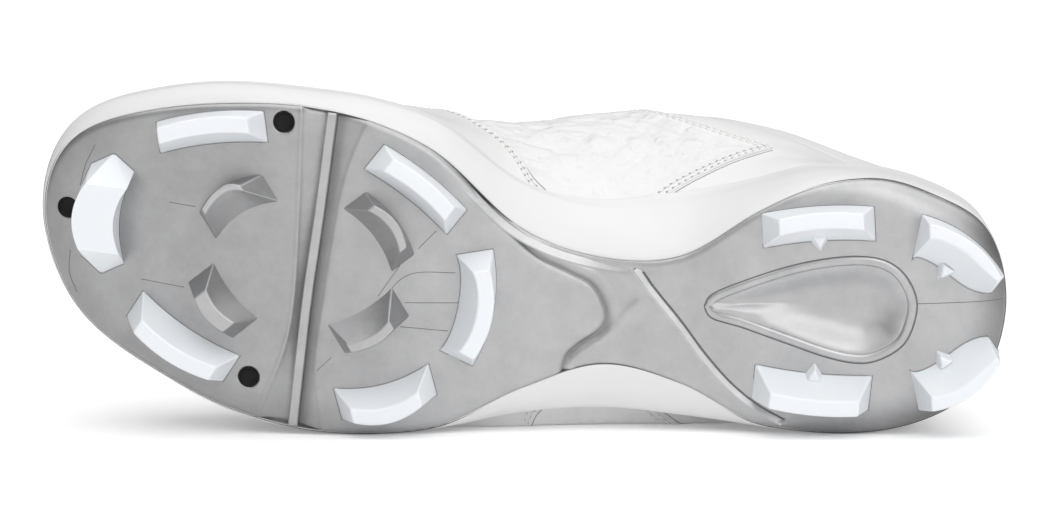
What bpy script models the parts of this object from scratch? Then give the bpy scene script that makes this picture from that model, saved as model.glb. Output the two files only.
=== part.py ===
# A right softball cleat, lying on its lateral side with the sole facing -Y.
# The shoe is drawn upright in its own frame, in millimetres: x runs from heel to toe,
# y towards the medial side and z up from the stud tips. An empty then lays it down.

import math

import bmesh
import bpy
import numpy as np
from mathutils import Matrix, Vector

MM = 0.001

# Driving dimensions
LENGTH = 280.0
BALL_WIDTH = 98.5
HEEL_HEIGHT = 103.0
INSTEP_HEIGHT = 108.0
STUD_HEIGHT = 10.0
PLATE_THICKNESS = 3.0
WALL = 2.4
INSOLE_THICKNESS = 4.0
TONGUE_THICKNESS = 3.0
LACE_RADIUS = 1.7
INSERT_RADIUS = 2.7
SEAT_GAP = 0.3

# How the shoe lies: the sole leans out over the floor until rim and upper both touch it
LEAN_DEG = 5.32
ROLL_DEG = -0.09
REST_SHIFT = (140.02, -59.25, 35.63)

# Stations from heel to toe on each side of every ring
HALF_STATIONS = 32

# Plan of the sole: at in hundredths of LENGTH, widths in hundredths of BALL_WIDTH
OUTLINE_COLUMNS = ("at", "plate_medial", "plate_lateral", "rim_medial", "rim_lateral")
OUTLINE_ROWS = (
    (3.0, 24.7, -22.8, 26.2, -23.3),
    (7.0, 32.0, -31.5, 33.5, -32.2),
    (15.0, 38.4, -36.9, 39.6, -37.4),
    (22.0, 34.7, -35.8, 38.6, -37.2),
    (26.0, 29.2, -33.8, 35.0, -36.5),
    (34.0, 15.5, -22.3, 28.4, -35.8),
    (42.0, 14.8, -17.1, 27.9, -35.7),
    (50.0, 23.4, -23.7, 35.5, -36.2),
    (59.0, 46.9, -34.9, 54.8, -37.3),
    (65.0, 55.4, -36.6, 60.9, -37.5),
    (72.0, 60.2, -35.5, 64.2, -36.8),
    (80.0, 61.1, -29.4, 66.0, -31.5),
    (88.0, 58.7, -17.9, 63.5, -20.1),
    (96.0, 50.1, -0.8, 54.6, -3.6),
)
HEEL_TIP = 1.5
TOE_TIP = 27.6

# Height of the plate's underside and of the feather edge, in millimetres
PROFILE_COLUMNS = ("at", "tread", "feather")
PROFILE_ROWS = (
    (0.0, 11.5, 32.0),
    (7.0, 10.3, 31.5),
    (15.0, 10.0, 31.0),
    (26.0, 10.8, 29.8),
    (34.0, 13.5, 28.6),
    (42.0, 15.2, 27.6),
    (50.0, 14.0, 25.6),
    (59.0, 11.3, 22.6),
    (72.0, 10.0, 20.4),
    (80.0, 11.0, 21.2),
    (88.0, 14.0, 23.8),
    (96.0, 19.5, 28.4),
    (100.0, 23.5, 31.5),
)

# Sections of the upper: widest girth with its height, then the edge of collar and throat.
# at and edge_at in hundredths of LENGTH, widths in hundredths of BALL_WIDTH, heights in
# millimetres; dome is 1 for a round toe box and near 0 for a straight wall.
UPPER_COLUMNS = ("at", "girth_medial", "girth_lateral", "girth_height",
                 "edge_at", "edge_gap", "edge_height", "dome")
UPPER_ROWS = (
    (3.0, 24.0, -23.0, 50.0, 4.0, 11.0, 1.00 * HEEL_HEIGHT, 0.25),
    (7.0, 30.5, -30.0, 50.0, 7.0, 20.0, 0.98 * HEEL_HEIGHT, 0.25),
    (15.0, 37.3, -36.0, 53.0, 14.0, 30.0, 0.91 * HEEL_HEIGHT, 0.25),
    (23.0, 46.0, -38.5, 60.0, 22.5, 36.5, 0.85 * HEEL_HEIGHT, 0.25),
    (34.0, 51.3, -41.0, 67.0, 33.0, 34.5, 0.90 * HEEL_HEIGHT, 0.30),
    (42.0, 50.8, -41.8, 67.0, 41.5, 22.5, 0.98 * INSTEP_HEIGHT, 0.40),
    (50.0, 50.3, -41.5, 60.0, 49.5, 17.0, 0.93 * INSTEP_HEIGHT, 0.50),
    (59.0, 55.0, -40.5, 48.0, 58.0, 13.5, 0.84 * INSTEP_HEIGHT, 0.58),
    (72.0, 61.5, -37.0, 38.0, 67.5, 10.0, 0.72 * INSTEP_HEIGHT, 0.64),
    (82.0, 61.8, -28.5, 36.5, 71.0, 8.0, 0.68 * INSTEP_HEIGHT, 0.66),
    (92.0, 56.5, -12.0, 38.5, 72.6, 5.0, 0.665 * INSTEP_HEIGHT, 0.66),
)
HEEL_SECTION = {"girth_height": 50.0, "edge_at": 3.2, "edge_height": HEEL_HEIGHT, "dome": 0.25}
TOE_SECTION = {"girth_height": 43.0, "edge_at": 73.4, "edge_height": 0.66 * INSTEP_HEIGHT,
               "dome": 0.66}
AXIS_SWING = 17.0
AXIS_SWING_AT = 200.0

# Studs: centre, heading of the long axis with the steep outer wall on its left, and sizes
STUD_COLUMNS = ("name", "x", "y", "heading", "length", "width", "bow")
STUD_ROWS = (
    ("stud_toe", 261.5, 26.6, -82.0, 34.0, 12.6, 4.4),
    ("stud_medial_front", 228.6, 52.5, -6.5, 31.4, 9.2, 1.4),
    ("stud_lateral_front", 238.7, -8.4, 213.4, 33.6, 9.6, 1.8),
    ("stud_medial_rear", 170.4, 35.8, 39.4, 30.5, 9.3, 1.2),
    ("stud_rear", 155.3, 1.6, 100.0, 31.5, 10.2, 4.5),
    ("stud_lateral_rear", 179.7, -24.8, 165.8, 28.5, 9.8, 2.6),
    ("stud_heel_medial_front", 55.8, 24.9, -3.8, 32.3, 10.2, 1.2),
    ("stud_heel_medial_rear", 16.2, 16.4, 37.0, 30.5, 9.8, 3.2),
    ("stud_heel_lateral_front", 57.0, -23.0, 185.5, 34.0, 10.6, 1.0),
    ("stud_heel_lateral_rear", 15.8, -18.0, 144.0, 30.5, 10.2, 3.0),
)
INNER_STUD_ROWS = (
    ("inner_stud_toe_medial", 221.6, 31.4, -31.0, 23.0, 11.0, 2.6),
    ("inner_stud_toe_lateral", 226.7, 2.8, 232.0, 22.0, 11.0, 2.4),
    ("inner_stud_rear_medial", 180.7, 23.8, 53.3, 23.5, 8.6, 2.2),
    ("inner_stud_rear_lateral", 184.3, -3.0, 150.0, 22.0, 10.2, 2.4),
)
STUD_TIP_WIDTH = 4.6
STUD_OUTER_DRAFT = 0.2
STUD_END_DRAFT = 3.4
STUD_STATIONS = 7
INNER_STUD_HEIGHT = 7.0
INNER_STUD_SINK = 1.2

# Round inserts in the forefoot plate
INSERT_ROWS = (
    ("insert_toe", 271.5, 28.8),
    ("insert_medial", 207.9, 55.0),
    ("insert_lateral", 219.3, -19.2),
)
INSERT_DEPTH = 1.8
INSERT_RECESS = 0.4
INSERT_SIDES = 16

# Lace rows up the throat, as positions round the ring between heel (0) and toe (1)
LACE_STATIONS = (0.66, 0.62, 0.58, 0.54, 0.50, 0.46)
LACE_EYELET = 1.90
LACE_SIDES = 6
LACE_OVERLAP = 1.0
LACE_CLEARANCE = 0.45
THROAT_NORMAL = np.array([0.45, 0.0, 0.9])

WHITE = (0.86, 0.86, 0.87, 1.0)
SILVER = (0.42, 0.42, 0.43, 1.0)
BLACK = (0.02, 0.02, 0.02, 1.0)


def columns(names, rows):
    """A table as one array for each named column."""
    return {name: np.array([row[i] for row in rows]) for i, name in enumerate(names)}


def smooth(knots, values, where):
    """A cubic curve through the knots, each slope taken from the two neighbours."""
    slopes = np.gradient(values, knots)
    i = np.clip(np.searchsorted(knots, where, side="right") - 1, 0, len(knots) - 2)
    span = knots[i + 1] - knots[i]
    s = (where - knots[i]) / span
    return ((2 * s**3 - 3 * s**2 + 1) * values[i] + (s**3 - 2 * s**2 + s) * span * slopes[i]
            + (3 * s**2 - 2 * s**3) * values[i + 1] + (s**3 - s**2) * span * slopes[i + 1])


def fold(v):
    """Distance from the heel, 0 to 1, of a place v round the ring: medial 0 to 1, lateral 1 to 2."""
    return 1.0 - np.abs(1.0 - np.mod(v, 2.0))


def wrapped(knots, values):
    """A ring's knots with enough of both ends repeated to run smoothly across the heel."""
    knots = np.concatenate([knots[-3:] - 2.0, knots, knots[:4] + 2.0])
    values = np.concatenate([values[-3:], values, values[:4]])
    return knots, values


def station(at, first_x, last_x):
    """Place along the ring, 0 to 1, of a section given in hundredths of the length."""
    share = (at / 100.0 * LENGTH - first_x) / (last_x - first_x)
    return np.arccos(1.0 - 2.0 * share) / math.pi


def plan_loop(at, medial, lateral, first_x, last_x):
    """A closed plan outline as a function of v, round at heel and toe."""
    u = station(at, first_x, last_x)
    knots = np.concatenate([[0.0], u, [1.0], 2.0 - u[::-1]])
    widths = np.concatenate([[HEEL_TIP], medial, [TOE_TIP], lateral[::-1]]) * BALL_WIDTH / 100.0
    knots, widths = wrapped(knots, widths)

    def point(v):
        x = first_x + (last_x - first_x) * (1.0 - np.cos(math.pi * fold(v))) / 2.0
        return np.stack([x, smooth(knots, widths, np.mod(v, 2.0))], axis=-1)

    return point


def moved_out(loop, v, distance):
    """Points of a plan outline moved square to it, outwards where distance is positive."""
    step = 1e-3
    along = loop(v + step) - loop(v - step)
    along /= np.linalg.norm(along, axis=-1, keepdims=True)
    outward = np.stack([-along[..., 1], along[..., 0]], axis=-1)
    return loop(v) + outward * distance


OUTLINE = columns(OUTLINE_COLUMNS, OUTLINE_ROWS)
PROFILE = columns(PROFILE_COLUMNS, PROFILE_ROWS)
UPPER = columns(UPPER_COLUMNS, UPPER_ROWS)

plate_loop = plan_loop(OUTLINE["at"], OUTLINE["plate_medial"], OUTLINE["plate_lateral"],
                       1.0, LENGTH - 1.6)
rim_loop = plan_loop(OUTLINE["at"], OUTLINE["rim_medial"], OUTLINE["rim_lateral"], 0.0, LENGTH)
girth_loop = plan_loop(UPPER["at"], UPPER["girth_medial"], UPPER["girth_lateral"],
                       0.8, LENGTH - 2.0)
RING = np.arange(2 * HALF_STATIONS) / HALF_STATIONS


def tread(x):
    """Height of the plate's underside."""
    return smooth(PROFILE["at"] / 100.0 * LENGTH, PROFILE["tread"], x)


def feather(x):
    """Height of the feather edge, where the upper meets the midsole."""
    return smooth(PROFILE["at"] / 100.0 * LENGTH, PROFILE["feather"], x)


def axis(x):
    """The throat's middle line, which swings to the medial side towards the toe."""
    return AXIS_SWING * (np.abs(x) / AXIS_SWING_AT) ** 1.5


def upper_value(name, v):
    """One column of the upper's table at a place round the ring."""
    u = np.concatenate([[0.0], station(UPPER["at"], 0.0, LENGTH), [1.0]])
    values = np.concatenate([[HEEL_SECTION[name]], UPPER[name], [TOE_SECTION[name]]])
    knots = np.concatenate([-u[3:0:-1], u, 2.0 - u[-2:-5:-1]])
    values = np.concatenate([values[3:0:-1], values, values[-2:-5:-1]])
    return smooth(knots, values, fold(v))


def edge_gap(v):
    """Signed half width of collar and throat, medial positive."""
    u = station(UPPER["at"], 0.0, LENGTH)
    gaps = UPPER["edge_gap"] * BALL_WIDTH / 100.0
    knots = np.concatenate([[0.0], u, [1.0], 2.0 - u[::-1]])
    values = np.concatenate([[0.0], gaps, [0.0], -gaps[::-1]])
    knots, values = wrapped(knots, values)
    return smooth(knots, values, np.mod(v, 2.0))


FEATHER_INSET = 1.8
LOWER_FLARE = 1.8
DOME_POWER = 2.6


def upper_skin(v, t):
    """Outside of the upper: t is 0 at the feather edge, 1 at the girth, 2 at the top edge."""
    foot_plan = moved_out(rim_loop, v, -FEATHER_INSET)
    foot_height = feather(foot_plan[..., 0]) + SEAT_GAP
    girth_plan = girth_loop(v)
    girth_height = upper_value("girth_height", v)
    edge_x = upper_value("edge_at", v) / 100.0 * LENGTH
    edge_plan = np.stack([edge_x, axis(edge_x) + edge_gap(v)], axis=-1)
    edge_height = upper_value("edge_height", v)
    dome = upper_value("dome", v)
    if t <= 1.0:
        inward = 1.0 - (1.0 - t) ** LOWER_FLARE
        plan = foot_plan + (girth_plan - foot_plan) * inward
        height = foot_height + (girth_height - foot_height) * t
    else:
        turn = (t - 1.0) * math.pi / 2.0
        inward = 1.0 - max(math.cos(turn), 0.0) ** (2.0 / DOME_POWER)
        climb = dome * math.sin(turn) + (1.0 - dome) * inward
        plan = girth_plan + (edge_plan - girth_plan) * inward
        height = girth_height + (edge_height - girth_height) * climb
    return np.concatenate([plan, height[..., None]], axis=-1)


def upper_depth(v, t, depth):
    """A point below the upper's outside, or above it where depth is negative."""
    step = 2e-3
    low = max(t - step, 0.0)
    high = min(t + step, 2.0)
    round_ring = upper_skin(v + step, t) - upper_skin(v - step, t)
    up_wall = upper_skin(v, high) - upper_skin(v, low)
    outward = np.cross(up_wall, round_ring)
    outward /= np.linalg.norm(outward, axis=-1, keepdims=True)
    return upper_skin(v, t) - outward * depth


def add_object(name, points, faces, colour, roughness, parent):
    """One named mesh object from points in millimetres, with its own material."""
    mesh = bpy.data.meshes.new(name)
    mesh.from_pydata([tuple(point * MM) for point in np.asarray(points)], [], faces)
    work = bmesh.new()
    work.from_mesh(mesh)
    bmesh.ops.recalc_face_normals(work, faces=work.faces)
    work.to_mesh(mesh)
    work.free()
    mesh.shade_smooth()
    mesh.set_sharp_from_angle(angle=math.radians(35.0))
    material = bpy.data.materials.new(name)
    material.use_nodes = True
    shader = material.node_tree.nodes["Principled BSDF"]
    shader.inputs["Base Color"].default_value = colour
    shader.inputs["Roughness"].default_value = roughness
    mesh.materials.append(material)
    obj = bpy.data.objects.new(name, mesh)
    bpy.context.collection.objects.link(obj)
    obj.parent = parent
    return obj


def ring_faces(ring_count, size, closed):
    """Quads between neighbouring rings; a closed stack joins its last ring to its first."""
    faces = []
    for r in range(ring_count if closed else ring_count - 1):
        upper_ring = (r + 1) % ring_count
        for i in range(size):
            j = (i + 1) % size
            faces.append((r * size + i, r * size + j, upper_ring * size + j, upper_ring * size + i))
    return faces


def ladder_faces(start, size):
    """Faces across a ring, from each medial point to the lateral point beside it."""
    faces = []
    for i in range(size // 2):
        rung = [start + i, start + i + 1, start + (size - i - 1) % size, start + (size - i) % size]
        faces.append(tuple(dict.fromkeys(rung)))
    return faces


def add_stack(name, rings, colour, roughness, parent):
    """A solid of stacked rings, closed across its first and last ring."""
    size = len(rings[0])
    faces = ring_faces(len(rings), size, False)
    faces += ladder_faces(0, size)
    faces += ladder_faces((len(rings) - 1) * size, size)
    return add_object(name, np.concatenate(rings), faces, colour, roughness, parent)


def ring_at(loop, distance, height, lift):
    """A ring on a plan outline, at the height that a profile gives plus a lift."""
    plan = moved_out(loop, RING, distance)
    return np.concatenate([plan, (height(plan[:, 0]) + lift)[:, None]], axis=-1)


PLATE_BEVEL = 1.0


def add_outsole(parent):
    """The moulded plate with its inner studs and the pockets for the inserts."""
    rings = [
        ring_at(plate_loop, -PLATE_BEVEL, tread, 0.0),
        ring_at(plate_loop, 0.0, tread, PLATE_BEVEL),
        ring_at(plate_loop, 0.0, tread, PLATE_THICKNESS),
    ]
    plate = add_stack("outsole", rings, SILVER, 0.4, parent)
    for row in INNER_STUD_ROWS:
        stud = add_stud(row, INNER_STUD_HEIGHT, INNER_STUD_SINK, SILVER, parent)
        join(plate, stud, "UNION")
    for name, x, y in INSERT_ROWS:
        pocket = add_disc(name + "_pocket", x, y, INSERT_RADIUS + SEAT_GAP,
                          -PLATE_THICKNESS, INSERT_DEPTH + SEAT_GAP, BLACK, parent)
        join(plate, pocket, "DIFFERENCE")
    return plate


def join(target, tool, operation):
    """A Boolean with a hidden tool."""
    tool.hide_render = True
    tool.display_type = "WIRE"
    modifier = target.modifiers.new(tool.name, "BOOLEAN")
    modifier.operation = operation
    modifier.solver = "EXACT"
    modifier.object = tool


def add_disc(name, x, y, radius, low, high, colour, parent):
    """A short round plug, its two ends given from the plate's underside."""
    turns = np.arange(INSERT_SIDES) * 2.0 * math.pi / INSERT_SIDES
    circle = np.stack([x + radius * np.cos(turns), y + radius * np.sin(turns)], axis=-1)
    base = float(tread(np.array([x]))[0])
    rings = [np.concatenate([circle, np.full((INSERT_SIDES, 1), base + lift)], axis=-1)
             for lift in (low, high)]
    faces = ring_faces(2, INSERT_SIDES, False)
    faces.append(tuple(range(INSERT_SIDES)))
    faces.append(tuple(range(INSERT_SIDES, 2 * INSERT_SIDES)))
    return add_object(name, np.concatenate(rings), faces, colour, 0.6, parent)


def add_stud(row, height, sink, colour, parent):
    """A bowed wedge: steep outer wall, gentle inner slope, drafted ends and a flat tip."""
    stud = dict(zip(STUD_COLUMNS, row))
    heading = math.radians(stud["heading"])
    along = np.array([math.cos(heading), math.sin(heading)])
    outward = np.array([-math.sin(heading), math.cos(heading)])
    centre = np.array([stud["x"], stud["y"]])
    half_width = stud["width"] / 2.0
    tip_outer = half_width - STUD_OUTER_DRAFT
    corners = (
        (half_width, stud["length"] / 2.0, False),
        (-half_width, stud["length"] / 2.0, False),
        (tip_outer - STUD_TIP_WIDTH, stud["length"] / 2.0 - STUD_END_DRAFT, True),
        (tip_outer, stud["length"] / 2.0 - STUD_END_DRAFT, True),
    )
    foot = float(tread(np.array([stud["x"]]))[0])
    tip_height = foot - height
    points = []
    for k in np.linspace(-1.0, 1.0, STUD_STATIONS):
        for across, reach, is_tip in corners:
            bowed = across + stud["bow"] * (0.5 - k * k)
            x, y = centre + along * reach * k + outward * bowed
            base_height = float(tread(np.array([x]))[0]) + sink
            points.append((x, y, tip_height if is_tip else base_height))
    size = len(corners)
    faces = ring_faces(STUD_STATIONS, size, False)
    faces.append(tuple(range(size)))
    faces.append(tuple(range((STUD_STATIONS - 1) * size, STUD_STATIONS * size)))
    return add_object(stud["name"], np.array(points), faces, colour, 0.35, parent)


MIDSOLE_LIP = 1.4
MIDSOLE_LIP_GAP = SEAT_GAP + 0.1
MIDSOLE_BELLY_SHARE = 0.55
MIDSOLE_BELLY_RISE = 2.4
MIDSOLE_SIDE_LOW = 5.0
MIDSOLE_SIDE_HIGH = 8.0
MIDSOLE_SIDE_ROUNDING = 0.5
MIDSOLE_TOP_ROUNDING = 1.4


def add_midsole(parent):
    """The foam layer: a recess over the plate, a lip round it, a swelling side and a flat top."""
    lip_plan = moved_out(plate_loop, RING, MIDSOLE_LIP_GAP)
    rim_plan = moved_out(rim_loop, RING, 0.0)
    belly_plan = lip_plan + (rim_plan - lip_plan) * MIDSOLE_BELLY_SHARE
    belly_height = tread(belly_plan[:, 0]) + MIDSOLE_BELLY_RISE
    rings = [
        ring_at(plate_loop, MIDSOLE_LIP_GAP, tread, PLATE_THICKNESS + SEAT_GAP),
        ring_at(plate_loop, MIDSOLE_LIP_GAP, tread, MIDSOLE_LIP),
        np.concatenate([belly_plan, belly_height[:, None]], axis=-1),
        ring_at(rim_loop, -MIDSOLE_SIDE_ROUNDING, tread, MIDSOLE_SIDE_LOW),
        ring_at(rim_loop, 0.0, tread, MIDSOLE_SIDE_HIGH),
        ring_at(rim_loop, -MIDSOLE_TOP_ROUNDING / 2.0, feather, -MIDSOLE_TOP_ROUNDING),
        ring_at(rim_loop, -MIDSOLE_TOP_ROUNDING, feather, 0.0),
    ]
    return add_stack("midsole", rings, WHITE, 0.5, parent)


INSOLE_CLEARANCE = 2.0


def add_insole(parent):
    """The footbed on top of the midsole, clear of the upper's wall."""
    inset = -(FEATHER_INSET + WALL + INSOLE_CLEARANCE)
    rings = [
        ring_at(rim_loop, inset, feather, SEAT_GAP),
        ring_at(rim_loop, inset, feather, SEAT_GAP + INSOLE_THICKNESS),
    ]
    return add_stack("insole", rings, WHITE, 0.8, parent)


UPPER_LEVELS = (0.0, 0.3, 0.65, 1.0, 1.2, 1.4, 1.58, 1.74, 1.88, 2.0)


def add_upper(parent):
    """The hollow shell: outer rings from feather edge to top edge, then inner rings back down."""
    outer = [upper_skin(RING, t) for t in UPPER_LEVELS]
    inner = [upper_depth(RING, t, WALL) for t in UPPER_LEVELS]
    inner[0][:, 2] = outer[0][:, 2]
    rings = outer + inner[::-1]
    faces = ring_faces(len(rings), len(RING), True)
    return add_object("upper", np.concatenate(rings), faces, WHITE, 0.45, parent)


TONGUE_CLEARANCE = 0.8
TONGUE_CROWN = 0.04
# Each row's place along the ring, and the level under the upper's wall that its sides reach
TONGUE_ROWS = ((0.83, 1.82), (0.79, 1.82), (0.75, 1.82), (0.70, 1.82), (0.65, 1.82),
               (0.60, 1.82), (0.55, 1.84), (0.50, 1.88), (0.47, 1.94))
# The free top: steps along a slope, each a share narrower than the last row under the wall
TONGUE_TOP_WIDTHS = (0.54, 0.50, 0.46)
TONGUE_TOP_RISE = (-7.0, 0.0, 7.0)


def tongue_row(u, tuck, depth):
    """Points across the tongue, tucked under the upper's wall on both sides."""
    levels = (tuck, (tuck + 2.0) / 2.0, 2.0)
    medial = [upper_depth(np.array([u]), t, depth)[0] for t in levels]
    lateral = [upper_depth(np.array([2.0 - u]), t, depth)[0] for t in levels]
    middle = (medial[-1] + lateral[-1]) / 2.0
    middle[2] += TONGUE_CROWN * np.linalg.norm(medial[-1] - lateral[-1])
    return np.array(medial + [middle] + lateral[::-1])


def add_tongue(parent):
    """The tongue, from under the vamp to a free top above the last eyelets."""
    faces_of_tongue = []
    for depth in (WALL + TONGUE_CLEARANCE, WALL + TONGUE_CLEARANCE + TONGUE_THICKNESS):
        rows = [tongue_row(u, tuck, depth) for u, tuck in TONGUE_ROWS]
        top = rows[-1]
        middle = top.mean(axis=0)
        for step, width in enumerate(TONGUE_TOP_WIDTHS, start=1):
            narrowed = middle + (top - middle) * np.array([1.0, width, width])
            rows.append(narrowed + np.array(TONGUE_TOP_RISE) * step)
        faces_of_tongue.append(rows)
    across = len(faces_of_tongue[0][0])
    rings = [np.concatenate([over, under[::-1]])
             for over, under in zip(faces_of_tongue[0], faces_of_tongue[1])]
    size = 2 * across
    faces = ring_faces(len(rings), size, False)
    for start in (0, (len(rings) - 1) * size):
        for i in range(across - 1):
            faces.append((start + i, start + i + 1, start + size - 2 - i, start + size - 1 - i))
    return add_object("tongue", np.concatenate(rings), faces, WHITE, 0.6, parent)


def lace_run(start_v, finish_v, rise):
    """One crossing over the throat from eyelet to eyelet, clear of upper and tongue."""
    lift = -(LACE_RADIUS + LACE_CLEARANCE)
    near = [upper_depth(np.array([start_v]), t, lift)[0] for t in (LACE_EYELET, 2.0)]
    far = [upper_depth(np.array([finish_v]), t, lift)[0] for t in (2.0, LACE_EYELET)]
    middle = (near[1] + far[0]) / 2.0
    middle[2] += rise
    return np.array(near + [middle] + far)


def add_tube(name, path, radius, colour, parent):
    """A round cord along a path, with flat ends."""
    tangents = np.gradient(path, axis=0)
    tangents /= np.linalg.norm(tangents, axis=1, keepdims=True)
    turns = np.arange(LACE_SIDES) * 2.0 * math.pi / LACE_SIDES
    rings = []
    for point, tangent in zip(path, tangents):
        across = np.cross(tangent, THROAT_NORMAL)
        across /= np.linalg.norm(across)
        over = np.cross(across, tangent)
        rings.append(point + radius * (np.cos(turns)[:, None] * across + np.sin(turns)[:, None] * over))
    faces = ring_faces(len(rings), LACE_SIDES, False)
    faces.append(tuple(range(LACE_SIDES)))
    last = (len(rings) - 1) * LACE_SIDES
    faces.append(tuple(range(last, last + LACE_SIDES)))
    return add_object(name, np.concatenate(rings), faces, colour, 0.8, parent)


def add_lace(parent):
    """A bar at the lowest eyelets and the crossings above it, joined into one solid."""
    lowest = LACE_STATIONS[0]
    lace = add_tube("lace", lace_run(lowest, 2.0 - lowest, 0.0), LACE_RADIUS, WHITE, parent)
    for k, (low, high) in enumerate(zip(LACE_STATIONS[:-1], LACE_STATIONS[1:])):
        runs = (("lace_under", low, 2.0 - high, 0.0), ("lace_over", 2.0 - low, high, LACE_OVERLAP))
        for name, start_v, finish_v, rise in runs:
            path = lace_run(start_v, finish_v, rise)
            join(lace, add_tube(f"{name}_{k}", path, LACE_RADIUS, WHITE, parent), "UNION")
    return lace


def add_rest():
    """The empty that lays the upright shoe on its lateral side, sole towards -Y."""
    laid = Matrix(((-1.0, 0.0, 0.0), (0.0, 0.0, 1.0), (0.0, 1.0, 0.0))).to_4x4()
    lean = Matrix.Rotation(math.radians(LEAN_DEG), 4, "X")
    roll = Matrix.Rotation(math.radians(ROLL_DEG), 4, "Y")
    rest = bpy.data.objects.new("lying_on_its_side", None)
    bpy.context.collection.objects.link(rest)
    rest.matrix_world = Matrix.Translation(Vector(REST_SHIFT) * MM) @ lean @ roll @ laid
    return rest


def main():
    for obj in list(bpy.data.objects):
        bpy.data.objects.remove(obj, do_unlink=True)
    rest = add_rest()
    add_outsole(rest)
    add_midsole(rest)
    add_insole(rest)
    add_upper(rest)
    add_tongue(rest)
    add_lace(rest)
    for row in STUD_ROWS:
        add_stud(row, STUD_HEIGHT, -SEAT_GAP, WHITE, rest)
    for name, x, y in INSERT_ROWS:
        add_disc(name, x, y, INSERT_RADIUS, INSERT_RECESS, INSERT_DEPTH, BLACK, rest)


main()
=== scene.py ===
import math

import bmesh
import bpy
import numpy as np
from mathutils import Matrix, Vector


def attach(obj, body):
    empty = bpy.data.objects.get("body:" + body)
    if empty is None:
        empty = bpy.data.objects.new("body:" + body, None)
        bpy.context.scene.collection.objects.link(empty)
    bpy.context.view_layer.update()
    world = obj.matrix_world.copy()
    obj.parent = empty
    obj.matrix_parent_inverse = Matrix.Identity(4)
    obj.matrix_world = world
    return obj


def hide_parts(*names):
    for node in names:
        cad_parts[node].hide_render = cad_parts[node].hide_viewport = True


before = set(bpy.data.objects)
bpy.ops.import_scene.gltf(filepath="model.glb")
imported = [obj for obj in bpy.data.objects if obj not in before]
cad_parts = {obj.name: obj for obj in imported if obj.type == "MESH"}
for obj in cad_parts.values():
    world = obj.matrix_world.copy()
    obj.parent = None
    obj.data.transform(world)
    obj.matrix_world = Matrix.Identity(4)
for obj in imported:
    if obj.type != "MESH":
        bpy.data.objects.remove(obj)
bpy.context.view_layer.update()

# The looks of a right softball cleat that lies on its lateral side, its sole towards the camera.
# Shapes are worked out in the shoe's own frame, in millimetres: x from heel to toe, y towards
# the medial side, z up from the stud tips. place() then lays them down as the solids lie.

MM = 0.001

# Driving dimensions, as in the solids
LENGTH = 280.0
BALL_WIDTH = 98.5
HEEL_HEIGHT = 103.0
INSTEP_HEIGHT = 108.0
STUD_HEIGHT = 10.0
INNER_STUD_HEIGHT = 7.0
PLATE_THICKNESS = 3.0
WALL = 2.4
SEAT_GAP = 0.3

# How the shoe lies
LEAN_DEG = 5.32
ROLL_DEG = -0.09
REST_SHIFT = (140.02, -59.25, 35.63)

# Plan of the sole: at in hundredths of LENGTH, widths in hundredths of BALL_WIDTH
OUTLINE_COLUMNS = ("at", "plate_medial", "plate_lateral", "rim_medial", "rim_lateral")
OUTLINE_ROWS = (
    (3.0, 24.7, -22.8, 26.2, -23.3),
    (7.0, 32.0, -31.5, 33.5, -32.2),
    (15.0, 38.4, -36.9, 39.6, -37.4),
    (22.0, 34.7, -35.8, 38.6, -37.2),
    (26.0, 29.2, -33.8, 35.0, -35.8),
    (34.0, 15.5, -22.3, 28.4, -33.2),
    (42.0, 14.8, -17.1, 27.9, -31.2),
    (50.0, 23.4, -23.7, 35.5, -32.4),
    (59.0, 46.9, -34.9, 54.8, -36.6),
    (65.0, 55.4, -36.6, 60.9, -37.5),
    (72.0, 60.2, -35.5, 64.2, -36.8),
    (80.0, 61.1, -29.4, 66.0, -31.5),
    (88.0, 58.7, -17.9, 63.5, -20.1),
    (96.0, 50.1, -0.8, 54.6, -3.6),
)
HEEL_TIP = 1.5
TOE_TIP = 27.6

# Height of the plate's underside and of the feather edge
PROFILE_COLUMNS = ("at", "tread", "feather")
PROFILE_ROWS = (
    (0.0, 11.5, 32.0),
    (7.0, 10.3, 31.5),
    (15.0, 10.0, 31.0),
    (26.0, 10.8, 29.8),
    (34.0, 13.5, 28.6),
    (42.0, 15.2, 27.6),
    (50.0, 14.0, 25.6),
    (59.0, 11.3, 22.6),
    (72.0, 10.0, 20.4),
    (80.0, 11.0, 21.2),
    (88.0, 14.0, 23.8),
    (96.0, 19.5, 28.4),
    (100.0, 23.5, 31.5),
)

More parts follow.
